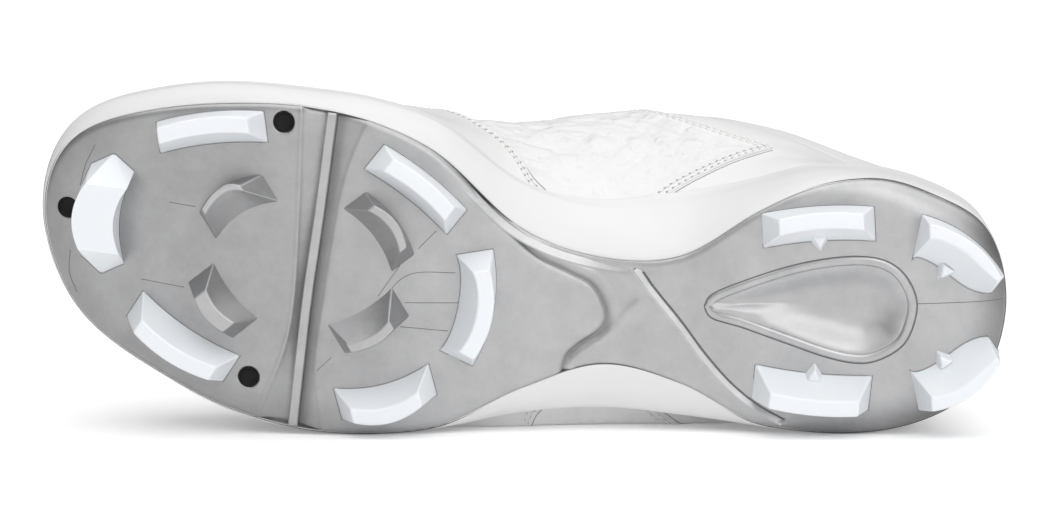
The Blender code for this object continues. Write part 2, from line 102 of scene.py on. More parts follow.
# Sections of the upper: widest girth, then the edge of collar and throat
UPPER_COLUMNS = ("at", "girth_medial", "girth_lateral", "girth_height",
                 "edge_at", "edge_gap", "edge_height", "dome")
UPPER_ROWS = (
    (3.0, 24.0, -23.0, 50.0, 4.0, 11.0, 1.00 * HEEL_HEIGHT, 0.25),
    (7.0, 30.5, -30.0, 50.0, 7.0, 20.0, 0.98 * HEEL_HEIGHT, 0.25),
    (15.0, 37.3, -36.0, 53.0, 14.0, 30.0, 0.91 * HEEL_HEIGHT, 0.25),
    (23.0, 46.0, -38.5, 60.0, 22.5, 36.5, 0.85 * HEEL_HEIGHT, 0.25),
    (34.0, 51.3, -41.0, 67.0, 33.0, 34.5, 0.90 * HEEL_HEIGHT, 0.30),
    (42.0, 50.8, -41.8, 67.0, 41.5, 22.5, 0.98 * INSTEP_HEIGHT, 0.40),
    (50.0, 49.0, -41.5, 60.0, 49.5, 17.0, 0.93 * INSTEP_HEIGHT, 0.50),
    (59.0, 53.3, -40.5, 48.0, 58.0, 13.5, 0.84 * INSTEP_HEIGHT, 0.58),
    (72.0, 61.5, -37.0, 38.0, 67.5, 10.0, 0.72 * INSTEP_HEIGHT, 0.64),
    (82.0, 61.8, -28.5, 36.5, 71.0, 8.0, 0.68 * INSTEP_HEIGHT, 0.66),
    (92.0, 56.5, -12.0, 38.5, 72.6, 5.0, 0.665 * INSTEP_HEIGHT, 0.66),
)
HEEL_SECTION = {"girth_height": 50.0, "edge_at": 3.2, "edge_height": HEEL_HEIGHT, "dome": 0.25}
TOE_SECTION = {"girth_height": 43.0, "edge_at": 73.4, "edge_height": 0.66 * INSTEP_HEIGHT,
               "dome": 0.66}
AXIS_SWING = 17.0
AXIS_SWING_AT = 200.0
AXIS_SWING_POWER = 1.5
FEATHER_INSET = 1.8
LOWER_FLARE = 1.8
DOME_POWER = 2.6

# Studs: centre, heading of the long axis with the steep outer wall on its left, and sizes
STUD_COLUMNS = ("name", "x", "y", "heading", "length", "width", "bow")
STUD_ROWS = (
    ("stud_toe", 260.9, 27.7, -82.0, 27.5, 12.8, 2.8),
    ("stud_medial_front", 228.6, 52.5, -6.5, 31.4, 9.2, 1.4),
    ("stud_lateral_front", 238.7, -8.4, 213.4, 33.6, 9.6, 1.8),
    ("stud_medial_rear", 170.4, 35.8, 39.4, 30.5, 9.3, 1.2),
    ("stud_rear", 155.3, 1.2, 100.0, 35.0, 10.4, 3.2),
    ("stud_lateral_rear", 179.7, -24.8, 165.8, 28.5, 9.8, 2.6),
    ("stud_heel_medial_front", 55.8, 24.9, -3.8, 32.3, 10.2, 1.2),
    ("stud_heel_medial_rear", 17.0, 15.3, 37.0, 30.5, 12.3, 3.0),
    ("stud_heel_lateral_front", 57.0, -23.0, 185.5, 34.0, 10.6, 1.0),
    ("stud_heel_lateral_rear", 17.0, -17.6, 144.0, 28.8, 11.7, 3.0),
)
INNER_STUD_ROWS = (
    ("inner_stud_toe_medial", 221.6, 31.4, -31.0, 22.0, 9.6, 2.6),
    ("inner_stud_toe_lateral", 226.7, 2.8, 232.0, 21.0, 10.0, 1.4),
    ("inner_stud_rear_medial", 180.7, 23.8, 53.3, 23.5, 8.6, 2.2),
    ("inner_stud_rear_lateral", 184.3, -3.0, 150.0, 22.0, 10.2, 1.5),
)
STUD_TIP_WIDTH = 4.6
STUD_OUTER_DRAFT = 0.2
STUD_END_DRAFT = 4.2
INNER_STUD_TIP_WIDTH = 1.9
STUD_SINK = 0.5
STUD_STATIONS = 15
STUD_SECTION_POINTS = 4

# Peaked ends, and how far the inner corner moves along and outwards at the rear and front ends
STUD_PEAKS = {"stud_toe": 4.0}
STUD_CORNERS = {
    "stud_rear": ((-3.3, 0.0), (-3.3, 0.0)),
    "stud_heel_medial_rear": ((0.0, 6.0), (-6.0, 0.0)),
    "stud_heel_lateral_rear": ((-5.0, 0.0), (0.0, 5.5)),
}
# Tips and end drafts, rear and front, of the studs that differ from the rest
STUD_TIP_WIDTHS = {
    "stud_toe": 11.8,
    "stud_heel_medial_rear": 3.4,
    "stud_heel_lateral_rear": 3.8,
    "inner_stud_toe_lateral": 4.4,
    "inner_stud_rear_lateral": 3.0,
    "inner_stud_rear_medial": 2.5,
}
STUD_END_DRAFTS = {
    "stud_medial_front": (4.2, 1.6),
    "stud_heel_medial_rear": (3.2, 1.2),
    "stud_heel_lateral_rear": (3.4, 1.4),
    "inner_stud_toe_medial": (6.5, 2.6),
    "inner_stud_rear_lateral": (3.0, 5.0),
}
STUD_OUTER_DRAFTS = {
    "inner_stud_toe_medial": -1.2,
    "inner_stud_rear_medial": -0.6,
}

INSERT_ROWS = (
    ("insert_toe", 271.5, 28.8),
    ("insert_medial", 207.9, 55.0),
    ("insert_lateral", 219.3, -19.2),
)
INSERT_RADIUS = 2.7

# Fine steps, and samples of the outlines
PLAN_STEP = 1e-3
SKIN_STEP = 2e-3
TINY = 1e-6
OUTLINE_SAMPLES = 241
CROWD_SAMPLES = 4001


def columns(names, rows):
    """A table as one array for each named column."""
    return {name: np.array([row[i] for row in rows]) for i, name in enumerate(names)}


def smooth(knots, values, where):
    """A cubic curve through the knots, each slope taken from the two neighbours."""
    slopes = np.gradient(values, knots)
    i = np.clip(np.searchsorted(knots, where, side="right") - 1, 0, len(knots) - 2)
    span = knots[i + 1] - knots[i]
    s = (where - knots[i]) / span
    return ((2 * s**3 - 3 * s**2 + 1) * values[i] + (s**3 - 2 * s**2 + s) * span * slopes[i]
            + (3 * s**2 - 2 * s**3) * values[i + 1] + (s**3 - s**2) * span * slopes[i + 1])


def ramp(value, low, high):
    """0 below low, 1 above high and a soft step between."""
    s = np.clip((value - low) / (high - low), 0.0, 1.0)
    return s * s * (3.0 - 2.0 * s)


def fade(value, low, high):
    """1 below low, 0 above high and a soft step between."""
    return ramp(-value, -high, -low)


def plateau(value, rise, fall):
    """1 between two soft steps, each given by where it starts and ends, and 0 beyond them."""
    return ramp(value, *rise) * fade(value, *fall)


def hump(value, half_width):
    """1 at zero, falling off like a bell."""
    return np.exp(-(value / half_width) ** 2)


def crowded(first, last, count, crowding):
    """Places from first to last that stand closer together where crowding is higher."""
    even = np.linspace(first, last, CROWD_SAMPLES)
    run = np.cumsum(1.0 + crowding(even))
    return np.interp(np.linspace(run[0], run[-1], count), run, even)


def unit(vectors):
    """Vectors brought to a length of 1."""
    return vectors / np.linalg.norm(vectors, axis=-1, keepdims=True)


def left_of(along):
    """Plane directions turned a quarter to the left."""
    return np.stack([-along[..., 1], along[..., 0]], axis=-1)


def raised(plan, height):
    """Points in space from points in plan and their heights."""
    return np.concatenate([plan, np.asarray(height)[..., None]], axis=-1)


def fold(v):
    """Distance from the heel, 0 to 1, of a place v round the ring: medial 0 to 1, lateral 1 to 2."""
    return 1.0 - np.abs(1.0 - np.mod(v, 2.0))


def wrapped(knots, values):
    """A ring's knots with enough of both ends repeated to run smoothly across the heel."""
    knots = np.concatenate([knots[-3:] - 2.0, knots, knots[:4] + 2.0])
    values = np.concatenate([values[-3:], values, values[:4]])
    return knots, values


def station(x, first_x, last_x):
    """Place along the ring, 0 to 1, of a distance from the heel."""
    share = np.clip((x - first_x) / (last_x - first_x), 0.0, 1.0)
    return np.arccos(1.0 - 2.0 * share) / math.pi


def plan_loop(at, medial, lateral, first_x, last_x):
    """A closed plan outline as a function of v, round at heel and toe."""
    u = station(at / 100.0 * LENGTH, first_x, last_x)
    knots = np.concatenate([[0.0], u, [1.0], 2.0 - u[::-1]])
    widths = np.concatenate([[HEEL_TIP], medial, [TOE_TIP], lateral[::-1]]) * BALL_WIDTH / 100.0
    knots, widths = wrapped(knots, widths)

    def point(v):
        x = first_x + (last_x - first_x) * (1.0 - np.cos(math.pi * fold(v))) / 2.0
        return np.stack([x, smooth(knots, widths, np.mod(v, 2.0))], axis=-1)

    return point


def moved_out(loop, v, distance):
    """Points of a plan outline moved square to it, outwards where distance is positive."""
    return loop(v) + left_of(unit(loop(v + PLAN_STEP) - loop(v - PLAN_STEP))) * distance


OUTLINE = columns(OUTLINE_COLUMNS, OUTLINE_ROWS)
PROFILE = columns(PROFILE_COLUMNS, PROFILE_ROWS)
UPPER = columns(UPPER_COLUMNS, UPPER_ROWS)
PLATE_FIRST_X = 1.0
PLATE_LAST_X = LENGTH - 1.6
GIRTH_FIRST_X = 0.8
GIRTH_LAST_X = LENGTH - 2.0

plate_loop = plan_loop(OUTLINE["at"], OUTLINE["plate_medial"], OUTLINE["plate_lateral"],
                       PLATE_FIRST_X, PLATE_LAST_X)
rim_loop = plan_loop(OUTLINE["at"], OUTLINE["rim_medial"], OUTLINE["rim_lateral"], 0.0, LENGTH)
girth_loop = plan_loop(UPPER["at"], UPPER["girth_medial"], UPPER["girth_lateral"],
                       GIRTH_FIRST_X, GIRTH_LAST_X)
PLATE_OUTLINE = plate_loop(np.linspace(0.0, 2.0, OUTLINE_SAMPLES))


def tread(x):
    """Height of the plate's underside."""
    return smooth(PROFILE["at"] / 100.0 * LENGTH, PROFILE["tread"], x)


def feather(x):
    """Height of the feather edge, where the upper meets the midsole."""
    return smooth(PROFILE["at"] / 100.0 * LENGTH, PROFILE["feather"], x)


def axis(x):
    """The throat's middle line, which swings to the medial side towards the toe."""
    return AXIS_SWING * (np.abs(x) / AXIS_SWING_AT) ** AXIS_SWING_POWER


UPPER_STATIONS = station(UPPER["at"] / 100.0 * LENGTH, 0.0, LENGTH)


def upper_value(name, v):
    """One column of the upper's table at a place round the ring."""
    u = np.concatenate([[0.0], UPPER_STATIONS, [1.0]])
    values = np.concatenate([[HEEL_SECTION[name]], UPPER[name], [TOE_SECTION[name]]])
    knots = np.concatenate([-u[3:0:-1], u, 2.0 - u[-2:-5:-1]])
    values = np.concatenate([values[3:0:-1], values, values[-2:-5:-1]])
    return smooth(knots, values, fold(v))


def edge_gap(v):
    """Signed half width of collar and throat, medial positive."""
    u = UPPER_STATIONS
    gaps = UPPER["edge_gap"] * BALL_WIDTH / 100.0
    knots = np.concatenate([[0.0], u, [1.0], 2.0 - u[::-1]])
    values = np.concatenate([[0.0], gaps, [0.0], -gaps[::-1]])
    knots, values = wrapped(knots, values)
    return smooth(knots, values, np.mod(v, 2.0))


def upper_skin(v, t):
    """Bare outside of the upper: t is 0 at the feather edge, 1 at the girth, 2 at the top edge."""
    v, t = np.broadcast_arrays(np.asarray(v, float), np.asarray(t, float))
    foot_plan = moved_out(rim_loop, v, -FEATHER_INSET)
    foot_height = feather(foot_plan[..., 0]) + SEAT_GAP
    girth_plan = girth_loop(v)
    girth_height = upper_value("girth_height", v)
    edge_x = upper_value("edge_at", v) / 100.0 * LENGTH
    edge_plan = np.stack([edge_x, axis(edge_x) + edge_gap(v)], axis=-1)
    edge_height = upper_value("edge_height", v)
    dome = upper_value("dome", v)
    low = np.clip(t, 0.0, 1.0)
    turn = np.clip(t - 1.0, 0.0, 1.0) * math.pi / 2.0
    low_inward = 1.0 - (1.0 - low) ** LOWER_FLARE
    inward = 1.0 - np.clip(np.cos(turn), 0.0, 1.0) ** (2.0 / DOME_POWER)
    climb = dome * np.sin(turn) + (1.0 - dome) * inward
    plan = foot_plan + (girth_plan - foot_plan) * low_inward[..., None]
    plan = plan + (edge_plan - girth_plan) * inward[..., None]
    height = foot_height + (girth_height - foot_height) * low + (edge_height - girth_height) * climb
    return raised(plan, height)


def upper_outward(v, t):
    """Directions square to the bare upper, pointing out."""
    round_ring = upper_skin(v + SKIN_STEP, t) - upper_skin(v - SKIN_STEP, t)
    above = upper_skin(v, np.minimum(t + SKIN_STEP, 2.0))
    below = upper_skin(v, np.maximum(t - SKIN_STEP, 0.0))
    return unit(np.cross(above - below, round_ring))


def beside_upper(v, t, lift):
    """Points off the bare upper, outside it where lift is positive."""
    v, t = np.broadcast_arrays(np.asarray(v, float), np.asarray(t, float))
    return upper_skin(v, t) + upper_outward(v, t) * np.asarray(lift)[..., None]


def curve_through(points, pieces=8):
    """A smooth line through points, as many short pieces between each two."""
    points = np.asarray(points, float)
    knots = np.arange(len(points), dtype=float)
    where = np.linspace(0.0, len(points) - 1.0, (len(points) - 1) * pieces + 1)
    return np.stack([smooth(knots, points[:, k], where) for k in range(points.shape[1])], axis=-1)


def offset_line(line, distance):
    """A plane line moved to its left."""
    return line + left_of(unit(np.gradient(line, axis=0))) * distance


def line_gap(points, line, open_ends=False):
    """Distance of points in a plane from a line, positive on its left, and the place along it."""
    best = np.full(points.shape[:-1], np.inf)
    gap = np.zeros(points.shape[:-1])
    along = np.zeros(points.shape[:-1])
    run = 0.0
    last = len(line) - 2
    for k, (a, b) in enumerate(zip(line[:-1], line[1:])):
        edge = b - a
        size = math.hypot(*edge)
        rel = points - a
        reach = (rel @ edge) / size
        low = -np.inf if open_ends and k == 0 else 0.0
        high = np.inf if open_ends and k == last else size
        held = np.clip(reach, low, high)
        across = (edge[0] * rel[..., 1] - edge[1] * rel[..., 0]) / size
        away = np.hypot(across, reach - held)
        nearer = away < best
        best = np.where(nearer, away, best)
        gap = np.where(nearer, np.where(across < 0.0, -away, away), gap)
        along = np.where(nearer, run + held, along)
        run += size
    return gap, along / run


def inside_gap(points, loop):
    """Distance of points in a plane from a closed line, positive inside it."""
    x = points[..., 0]
    y = points[..., 1]
    inside = np.zeros(x.shape, dtype=bool)
    for (ax, ay), (bx, by) in zip(loop[:-1], loop[1:]):
        if ay != by:
            crosses = ((ay > y) != (by > y)) & (x < ax + (bx - ax) * (y - ay) / (by - ay))
            inside ^= crosses
    away = np.abs(line_gap(points, loop)[0])
    return np.where(inside, away, -away)


LAID = Matrix(((-1.0, 0.0, 0.0), (0.0, 0.0, 1.0), (0.0, 1.0, 0.0))).to_4x4()
REST = (Matrix.Translation(Vector(REST_SHIFT)) @ Matrix.Rotation(math.radians(LEAN_DEG), 4, "X")
        @ Matrix.Rotation(math.radians(ROLL_DEG), 4, "Y") @ LAID)
REST_TURN = np.array(REST)[:3, :3]
REST_MOVE = np.array(REST)[:3, 3]


def place(points):
    """Points of the upright shoe, in millimetres, laid down in the row's frame, in metres."""
    return (np.asarray(points, float) @ REST_TURN.T + REST_MOVE) * MM


def add_piece(name, points, faces, material, slot, replaced=()):
    """One named, smooth-shaded piece from points of the upright shoe."""
    mesh = bpy.data.meshes.new(name)
    mesh.from_pydata(place(points).tolist(), [], faces)
    work = bmesh.new()
    work.from_mesh(mesh)
    bmesh.ops.recalc_face_normals(work, faces=work.faces)
    if work.calc_volume(signed=True) < 0.0:
        bmesh.ops.reverse_faces(work, faces=work.faces)
    work.to_mesh(mesh)
    work.free()
    mesh.shade_smooth()
    mesh.materials.append(material)
    obj = bpy.data.objects.new(name, mesh)
    bpy.context.collection.objects.link(obj)
    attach(obj, "root")
    if replaced:
        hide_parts(*replaced)
    return obj


def ring_faces(ring_count, size, closed_stack=False):
    """Quads between neighbouring closed rings."""
    faces = []
    for r in range(ring_count if closed_stack else ring_count - 1):
        other = (r + 1) % ring_count
        for i in range(size):
            j = (i + 1) % size
            faces.append((r * size + i, r * size + j, other * size + j, other * size + i))
    return faces


def capped_faces(ring_count, size):
    """Quads between neighbouring closed rings, and one face across each end."""
    last = (ring_count - 1) * size
    return ring_faces(ring_count, size) + [tuple(range(size)), tuple(range(last, last + size))]


def grid_faces(rows, size):
    """Quads between neighbouring open rows."""
    return [(r * size + i, r * size + i + 1, (r + 1) * size + i + 1, (r + 1) * size + i)
            for r in range(rows - 1) for i in range(size - 1)]


def ladder_faces(start, size):
    """Faces across a ring, from each medial point to the lateral point beside it."""
    faces = []
    for i in range(size // 2):
        rung = [start + i, start + i + 1, start + (size - i - 1) % size, start + (size - i) % size]
        faces.append(tuple(dict.fromkeys(rung)))
    return faces


def laddered_faces(ring_count, size):
    """Quads between neighbouring closed rings, with ladders across the first and the last."""
    return (ring_faces(ring_count, size) + ladder_faces(0, size)
            + ladder_faces((ring_count - 1) * size, size))


def turns(sides):
    """Angles at even steps round a circle."""
    return np.arange(sides) * 2.0 * math.pi / sides


def circle(side, other, sides):
    """Directions at even steps round the circle of two directions."""
    turn = turns(sides)[:, None]
    return np.cos(turn) * side + np.sin(turn) * other


class Patchwork:
    """Many small meshes gathered into one piece."""

    def __init__(self):
        self.points = []
        self.faces = []
        self.count = 0

    def add(self, points, faces):
        """Takes in one small mesh."""
        self.points.append(np.asarray(points, float))
        self.faces += [tuple(i + self.count for i in face) for face in faces]
        self.count += len(points)

    def piece(self, name, material, slot, replaced=()):
        """All the meshes as one named piece."""
        return add_piece(name, np.concatenate(self.points), self.faces, material, slot, replaced)


# Materials: grains are layers of noise, each with its scale in waves to the metre, its height in
# millimetres, its strength and, if it is not plain, its kind
# Name of the point attribute that carries the plate's painted shade
PAINTED_SHADE_ATTRIBUTE = "tone"
GRAIN_DETAIL = 3.0
GRAIN_ROUGHNESS = 0.55
MOTTLE_DETAIL = 2.0
MOTTLE_RANGE = (0.3, 0.7)
WEAVE_STRENGTH = 0.7
WEAVE_HEIGHT = 0.25
WEAVE_WAVER = 1.5
CAST_GRAIN = ((2600.0, 0.03, 0.25), (120.0, 0.1, 0.1))
LINE_GRAIN = ((2600.0, 0.02, 0.2),)
STUD_GRAIN = ((700.0, 0.03, 0.2),)
INSERT_GRAIN = ((900.0, 0.04, 0.3),)
FOAM_GRAIN = ((1100.0, 0.03, 0.25),)
LEATHER_GRAIN = ((850.0, 0.06, 0.4), (200.0, 0.12, 0.2))
CRINKLE_GRAIN = ((170.0, 0.7, 1.0, "RIDGED_MULTIFRACTAL"), (420.0, 0.5, 1.0, "RIDGED_MULTIFRACTAL"))
THREAD_GRAIN = ((2500.0, 0.05, 0.5),)
HOLE_GRAIN = ((2500.0, 0.03, 0.3),)
FLOOR_GRAIN = ((60.0, 0.05, 0.05),)
SILVER_BLUE = 0.005
SILVER_CLOUD = (110.0, 9.0, 0.75)
SILVER_CLOUD_SHARE = 0.1


def grey(tone, blue=0.0):
    """A grey, or one with a little more or less blue."""
    return (tone, tone, tone + blue)


def new_material(name, colour, roughness, **sockets):
    """A Principled material with its constant values on the shader's own sockets."""
    material = bpy.data.materials.new(name)
    material.use_nodes = True
    shader = material.node_tree.nodes["Principled BSDF"]
    shader.inputs["Base Color"].default_value = (*colour, 1.0)
    shader.inputs["Roughness"].default_value = roughness
    for socket, value in sockets.items():
        shader.inputs[socket.replace("_", " ")].default_value = value
    return material


def add_node(material, kind, **values):
    """A node with its plain settings and its input values."""
    node = material.node_tree.nodes.new(kind)
    for key, value in values.items():
        if key in node.inputs:
            node.inputs[key].default_value = value
        else:
            setattr(node, key, value)
    return node


def noise(material, scale, detail=GRAIN_DETAIL, roughness=GRAIN_ROUGHNESS, kind="FBM"):
    """A noise texture in object space, its scale in waves to the metre."""
    tree = material.node_tree
    coordinates = add_node(material, "ShaderNodeTexCoord")
    texture = add_node(material, "ShaderNodeTexNoise", noise_type=kind, Scale=scale, Detail=detail,
                       Roughness=roughness)
    tree.links.new(coordinates.outputs["Object"], texture.inputs["Vector"])
    return texture


def grained_material(name, colour, roughness, grain, **sockets):
    """A material with bump from the layers of a grain."""
    material = new_material(name, colour, roughness, **sockets)
    tree = material.node_tree
    normal = None
    for scale, height, strength, *kind in grain:
        texture = noise(material, scale, GRAIN_DETAIL, GRAIN_ROUGHNESS, *kind)
        bump = add_node(material, "ShaderNodeBump", Strength=strength, Distance=height * MM)
        tree.links.new(texture.outputs["Fac"], bump.inputs["Height"])
        if normal is not None:
            tree.links.new(normal, bump.inputs["Normal"])
        normal = bump.outputs["Normal"]
    tree.links.new(normal, tree.nodes["Principled BSDF"].inputs["Normal"])
    return material


def add_mottle(material, scale, low, high, detail=MOTTLE_DETAIL, roughness=GRAIN_ROUGHNESS):
    """Base colour that wanders between two close tones."""
    tree = material.node_tree
    texture = noise(material, scale, detail, roughness)
    tones = add_node(material, "ShaderNodeValToRGB")
    for element, position, colour in zip(tones.color_ramp.elements, MOTTLE_RANGE, (low, high)):
        element.position = position
        element.color = (*colour, 1.0)
    tree.links.new(texture.outputs["Fac"], tones.inputs["Fac"])
    tree.links.new(tones.outputs["Color"], tree.nodes["Principled BSDF"].inputs["Base Color"])


def add_sheen_change(material, scale, low, high):
    """Roughness that wanders between two values."""
    tree = material.node_tree
    texture = noise(material, scale)
    change = add_node(material, "ShaderNodeMapRange")
    change.inputs["To Min"].default_value = low
    change.inputs["To Max"].default_value = high
    tree.links.new(texture.outputs["Fac"], change.inputs["Value"])
    tree.links.new(change.outputs["Result"], tree.nodes["Principled BSDF"].inputs["Roughness"])


def add_weave(material, scale, height):
    """Bump like a fine knit: two crossed waves."""
    tree = material.node_tree
    coordinates = add_node(material, "ShaderNodeTexCoord")
    waves = []
    for direction in ("X", "Z"):
        wave = add_node(material, "ShaderNodeTexWave", Scale=scale, Distortion=WEAVE_WAVER,
                        bands_direction=direction)
        tree.links.new(coordinates.outputs["Object"], wave.inputs["Vector"])
        waves.append(wave)
    cross = add_node(material, "ShaderNodeMath", operation="MULTIPLY")
    for k, wave in enumerate(waves):
        tree.links.new(wave.outputs["Fac"], cross.inputs[k])
    bump = add_node(material, "ShaderNodeBump", Strength=WEAVE_STRENGTH, Distance=height * MM)
    tree.links.new(cross.outputs["Value"], bump.inputs["Height"])
    tree.links.new(bump.outputs["Normal"], tree.nodes["Principled BSDF"].inputs["Normal"])


def silver_material(name, tone, roughness):
    """Silver of a given lightness, cloudy between a tenth less and a tenth more."""
    material = grained_material(name, grey(tone, SILVER_BLUE), roughness, CAST_GRAIN, Metallic=0.8)
    scale, detail, cloud_roughness = SILVER_CLOUD
    low = grey((1.0 - SILVER_CLOUD_SHARE) * tone, SILVER_BLUE)
    high = grey((1.0 + SILVER_CLOUD_SHARE) * tone, SILVER_BLUE)
    add_mottle(material, scale, low, high, detail, cloud_roughness)
    return material


def plate_material():
    """Silver darkened by the painted shade that the mesh carries as a point attribute."""
    material = silver_material("silver_plate", 0.43, 0.42)
    tree = material.node_tree
    colour = tree.nodes["Principled BSDF"].inputs["Base Color"]
    mottle = colour.links[0].from_socket
    # Painted shade read from the mesh and multiplied into the silver
    tone = add_node(material, "ShaderNodeAttribute", attribute_name=PAINTED_SHADE_ATTRIBUTE)
    blend = add_node(material, "ShaderNodeMixRGB", blend_type="MULTIPLY", Fac=1.0)
    tree.links.new(mottle, blend.inputs["Color1"])
    tree.links.new(tone.outputs["Color"], blend.inputs["Color2"])
    tree.links.new(blend.outputs["Color"], colour)
    return material


def shade_and_mould_line_material():
    """Dark for painted shade in fine grooves and gaps, and for the mould's own marks."""
    return grained_material("shade_and_mould_line", grey(0.13, 0.005), 0.7, LINE_GRAIN)


def stud_material():
    """Slightly bluish white, hard and smooth."""
    material = grained_material("white_stud", (0.75, 0.775, 0.805), 0.34, STUD_GRAIN,
                                Subsurface_Weight=0.1, Subsurface_Scale=0.002)
    add_sheen_change(material, 120.0, 0.28, 0.42)
    return material


def insert_material():
    """Dull black rubber."""
    return grained_material("black_insert", grey(0.010), 0.55, INSERT_GRAIN, Specular_IOR_Level=0.15)


def foam_material():
    """White moulded foam."""
    material = grained_material("white_foam", grey(0.69), 0.5, FOAM_GRAIN)
    add_mottle(material, 40.0, grey(0.68), grey(0.70))
    return material


def leather_material(name, grain):
    """White synthetic leather with a thin coat."""
    material = grained_material(name, grey(0.70), 0.5, grain, Coat_Weight=0.08, Coat_Roughness=0.35)
    add_mottle(material, 60.0, grey(0.685, -0.003), grey(0.72, -0.003))
    return material


def fabric_material(name, colour, scale):
    """A fine knit."""
    material = new_material(name, colour, 0.85, Sheen_Weight=0.3, Sheen_Roughness=0.5)
    add_weave(material, scale, WEAVE_HEIGHT)
    return material


def thread_material():
    """White sewing thread."""
    return grained_material("white_thread", grey(0.78, -0.005), 0.7, THREAD_GRAIN)


def painted_shade_material():
    """The grey of painted shade: inside needle holes and eyelets, and under an edge."""
    return grained_material("painted_hole_and_edge_shade", grey(0.32, 0.01), 0.9, HOLE_GRAIN)


# Plate: lines are in plan, in millimetres, read along the sole's underside
FLEX_FRONT = curve_through(((202.4, 75.0), (203.0, 56.5), (204.2, 29.7), (206.1, 3.5),
                            (209.2, -11.2), (214.9, -25.1), (220.5, -40.0)))
FLEX_REAR = curve_through(((176.0, 72.0), (179.5, 62.0), (183.7, 55.3), (189.3, 42.7), (192.8, 29.4),
                           (197.2, 3.5), (200.1, -16.7), (198.8, -30.3), (196.5, -45.0)))
FLEX_RIB = curve_through(((191.8, 74.0), (193.9, 59.3), (198.1, 29.7), (202.2, 3.5), (206.5, -30.4),
                          (208.2, -45.0)), 40)
STEP = curve_through(((170.0, 54.0), (161.0, 44.0), (153.5, 35.0), (146.5, 26.5), (141.4, 20.2),
                      (135.3, 14.9), (127.0, 10.6), (119.8, 6.3), (116.2, -1.0), (117.7, -6.3),
                      (124.9, -11.5), (128.2, -15.7), (128.6, -24.0), (126.0, -50.0)), 16)
RIDGE = curve_through(((126.0, 34.0), (108.6, 12.9), (103.0, 5.3), (95.4, -4.1), (87.9, -14.2),
                       (80.3, -22.6), (72.8, -28.6), (65.2, -33.0), (46.0, -44.0)), 20)
WAIST_FOLD = curve_through(((107.3, 1.2), (110.7, -2.2), (113.2, -6.5), (115.2, -11.6)))
TEARDROP = curve_through(((87.4, 0.8), (85.3, 4.0), (76.9, 7.8), (64.6, 12.1), (53.5, 14.5),
                          (43.5, 15.2), (36.1, 13.7), (31.0, 9.6), (28.0, 2.9), (28.8, -4.1),
                          (31.8, -9.9), (38.0, -13.7), (44.2, -14.6), (53.0, -12.8), (64.3, -8.8),
                          (76.8, -4.4), (85.2, -2.0), (87.4, 0.8)))
TEARDROP_SPINE = curve_through(((86.1, 0.4), (76.8, 0.1), (68.2, 0.4), (62.0, 1.0), (50.0, 1.8)))
MOULD_LINES = (
    curve_through(((26.9, 2.1), (14.0, 2.4), (1.6, 2.9)), 16),
    curve_through(((241.3, 31.5), (233.9, 30.4))),
    curve_through(((250.1, 8.8), (237.6, 6.8))),
    curve_through(((165.0, 23.3), (170.2, 18.2))),
    curve_through(((175.3, 13.6), (181.7, 4.6))),
    curve_through(((195.4, -13.4), (199.6, -17.3))),
    curve_through(((179.7, 4.3), (175.4, 9.2), (170.0, 11.3), (159.6, 11.0))),
    curve_through(((174.0, 2.5), (158.8, 2.2))),
    curve_through(((175.5, -4.5), (161.8, -6.0))),
    curve_through(((267.5, 35.5), (265.8, 41.4), (262.7, 47.5))),
    curve_through(((271.1, 16.3), (271.6, 10.0), (269.5, 4.0))),
)

# Relief of the plate; a pair of numbers is where a soft step starts and ends
FLEX_DEPTH = 2.3
FLEX_REAR_LIP = 0.15
FLEX_REAR_LIP_RUN = 0.9
FLEX_CREST = 0.25
FLEX_CREST_WIDTH = 0.6
FLEX_MIDDLE_X = 200.0
WAIST_DEPTH = 0.5
WAIST_RUN = (3.0, 25.0)
FOLD_HEIGHT = 0.4
FOLD_WIDTH = 1.5
STEP_RUN = (-0.8, 0.8)
STEP_VALLEY_DEPTH = 0.9
STEP_VALLEY_WIDTH = 1.1
STEP_BEAD_HEIGHT = 0.4
STEP_BEAD_AT = 2.4
STEP_BEAD_WIDTH = 1.2
RIDGE_CUT = 1.1
RIDGE_CUT_REAR = (-1.15, -0.75)
RIDGE_CUT_FRONT = (0.6, 1.1)
RIDGE_CUT_EDGE = (1.5, 3.5)
LEDGE_DEPTH = 0.3
LEDGE_EDGE = (2.2, 4.2)
LEDGE_REAR = (98.0, 112.0)
LEDGE_FRONT = (162.0, 178.0)
LEDGE_SIDE = (4.0, 8.0)
LEDGE_STEP = (0.0, 5.0)
LEDGE_FLATNESS = 0.8
WELT_INSET = 2.3
WELT_ENDS = (107.0, 161.0)
WELT_SINK = 1.2
WELT_SINK_POWER = 0.3
WELT_SAMPLES = 80
TEARDROP_DEPTH = 3.8
TEARDROP_BOWL = 5.5
TEARDROP_RIM = 1.4
TEARDROP_RIM_DEPTH = 0.35
SPINE_HEIGHT = 1.6
SPINE_WIDTH = 1.2
SPINE_WIDENING = 3.5
SPINE_RIM = (0.0, 1.5)
INSERT_HOLE_DEPTH = 1.6
INSERT_HOLE_EDGE = (INSERT_RADIUS - 0.1, INSERT_RADIUS + 0.3)
PLATE_EDGE_ROUND = 2.2
PLATE_EDGE_DROP = 1.1
HEEL_EDGE_ROUND = 9.5
HEEL_EDGE_DROP = 4.4
HEEL_FRONT = (20.0, 70.0)
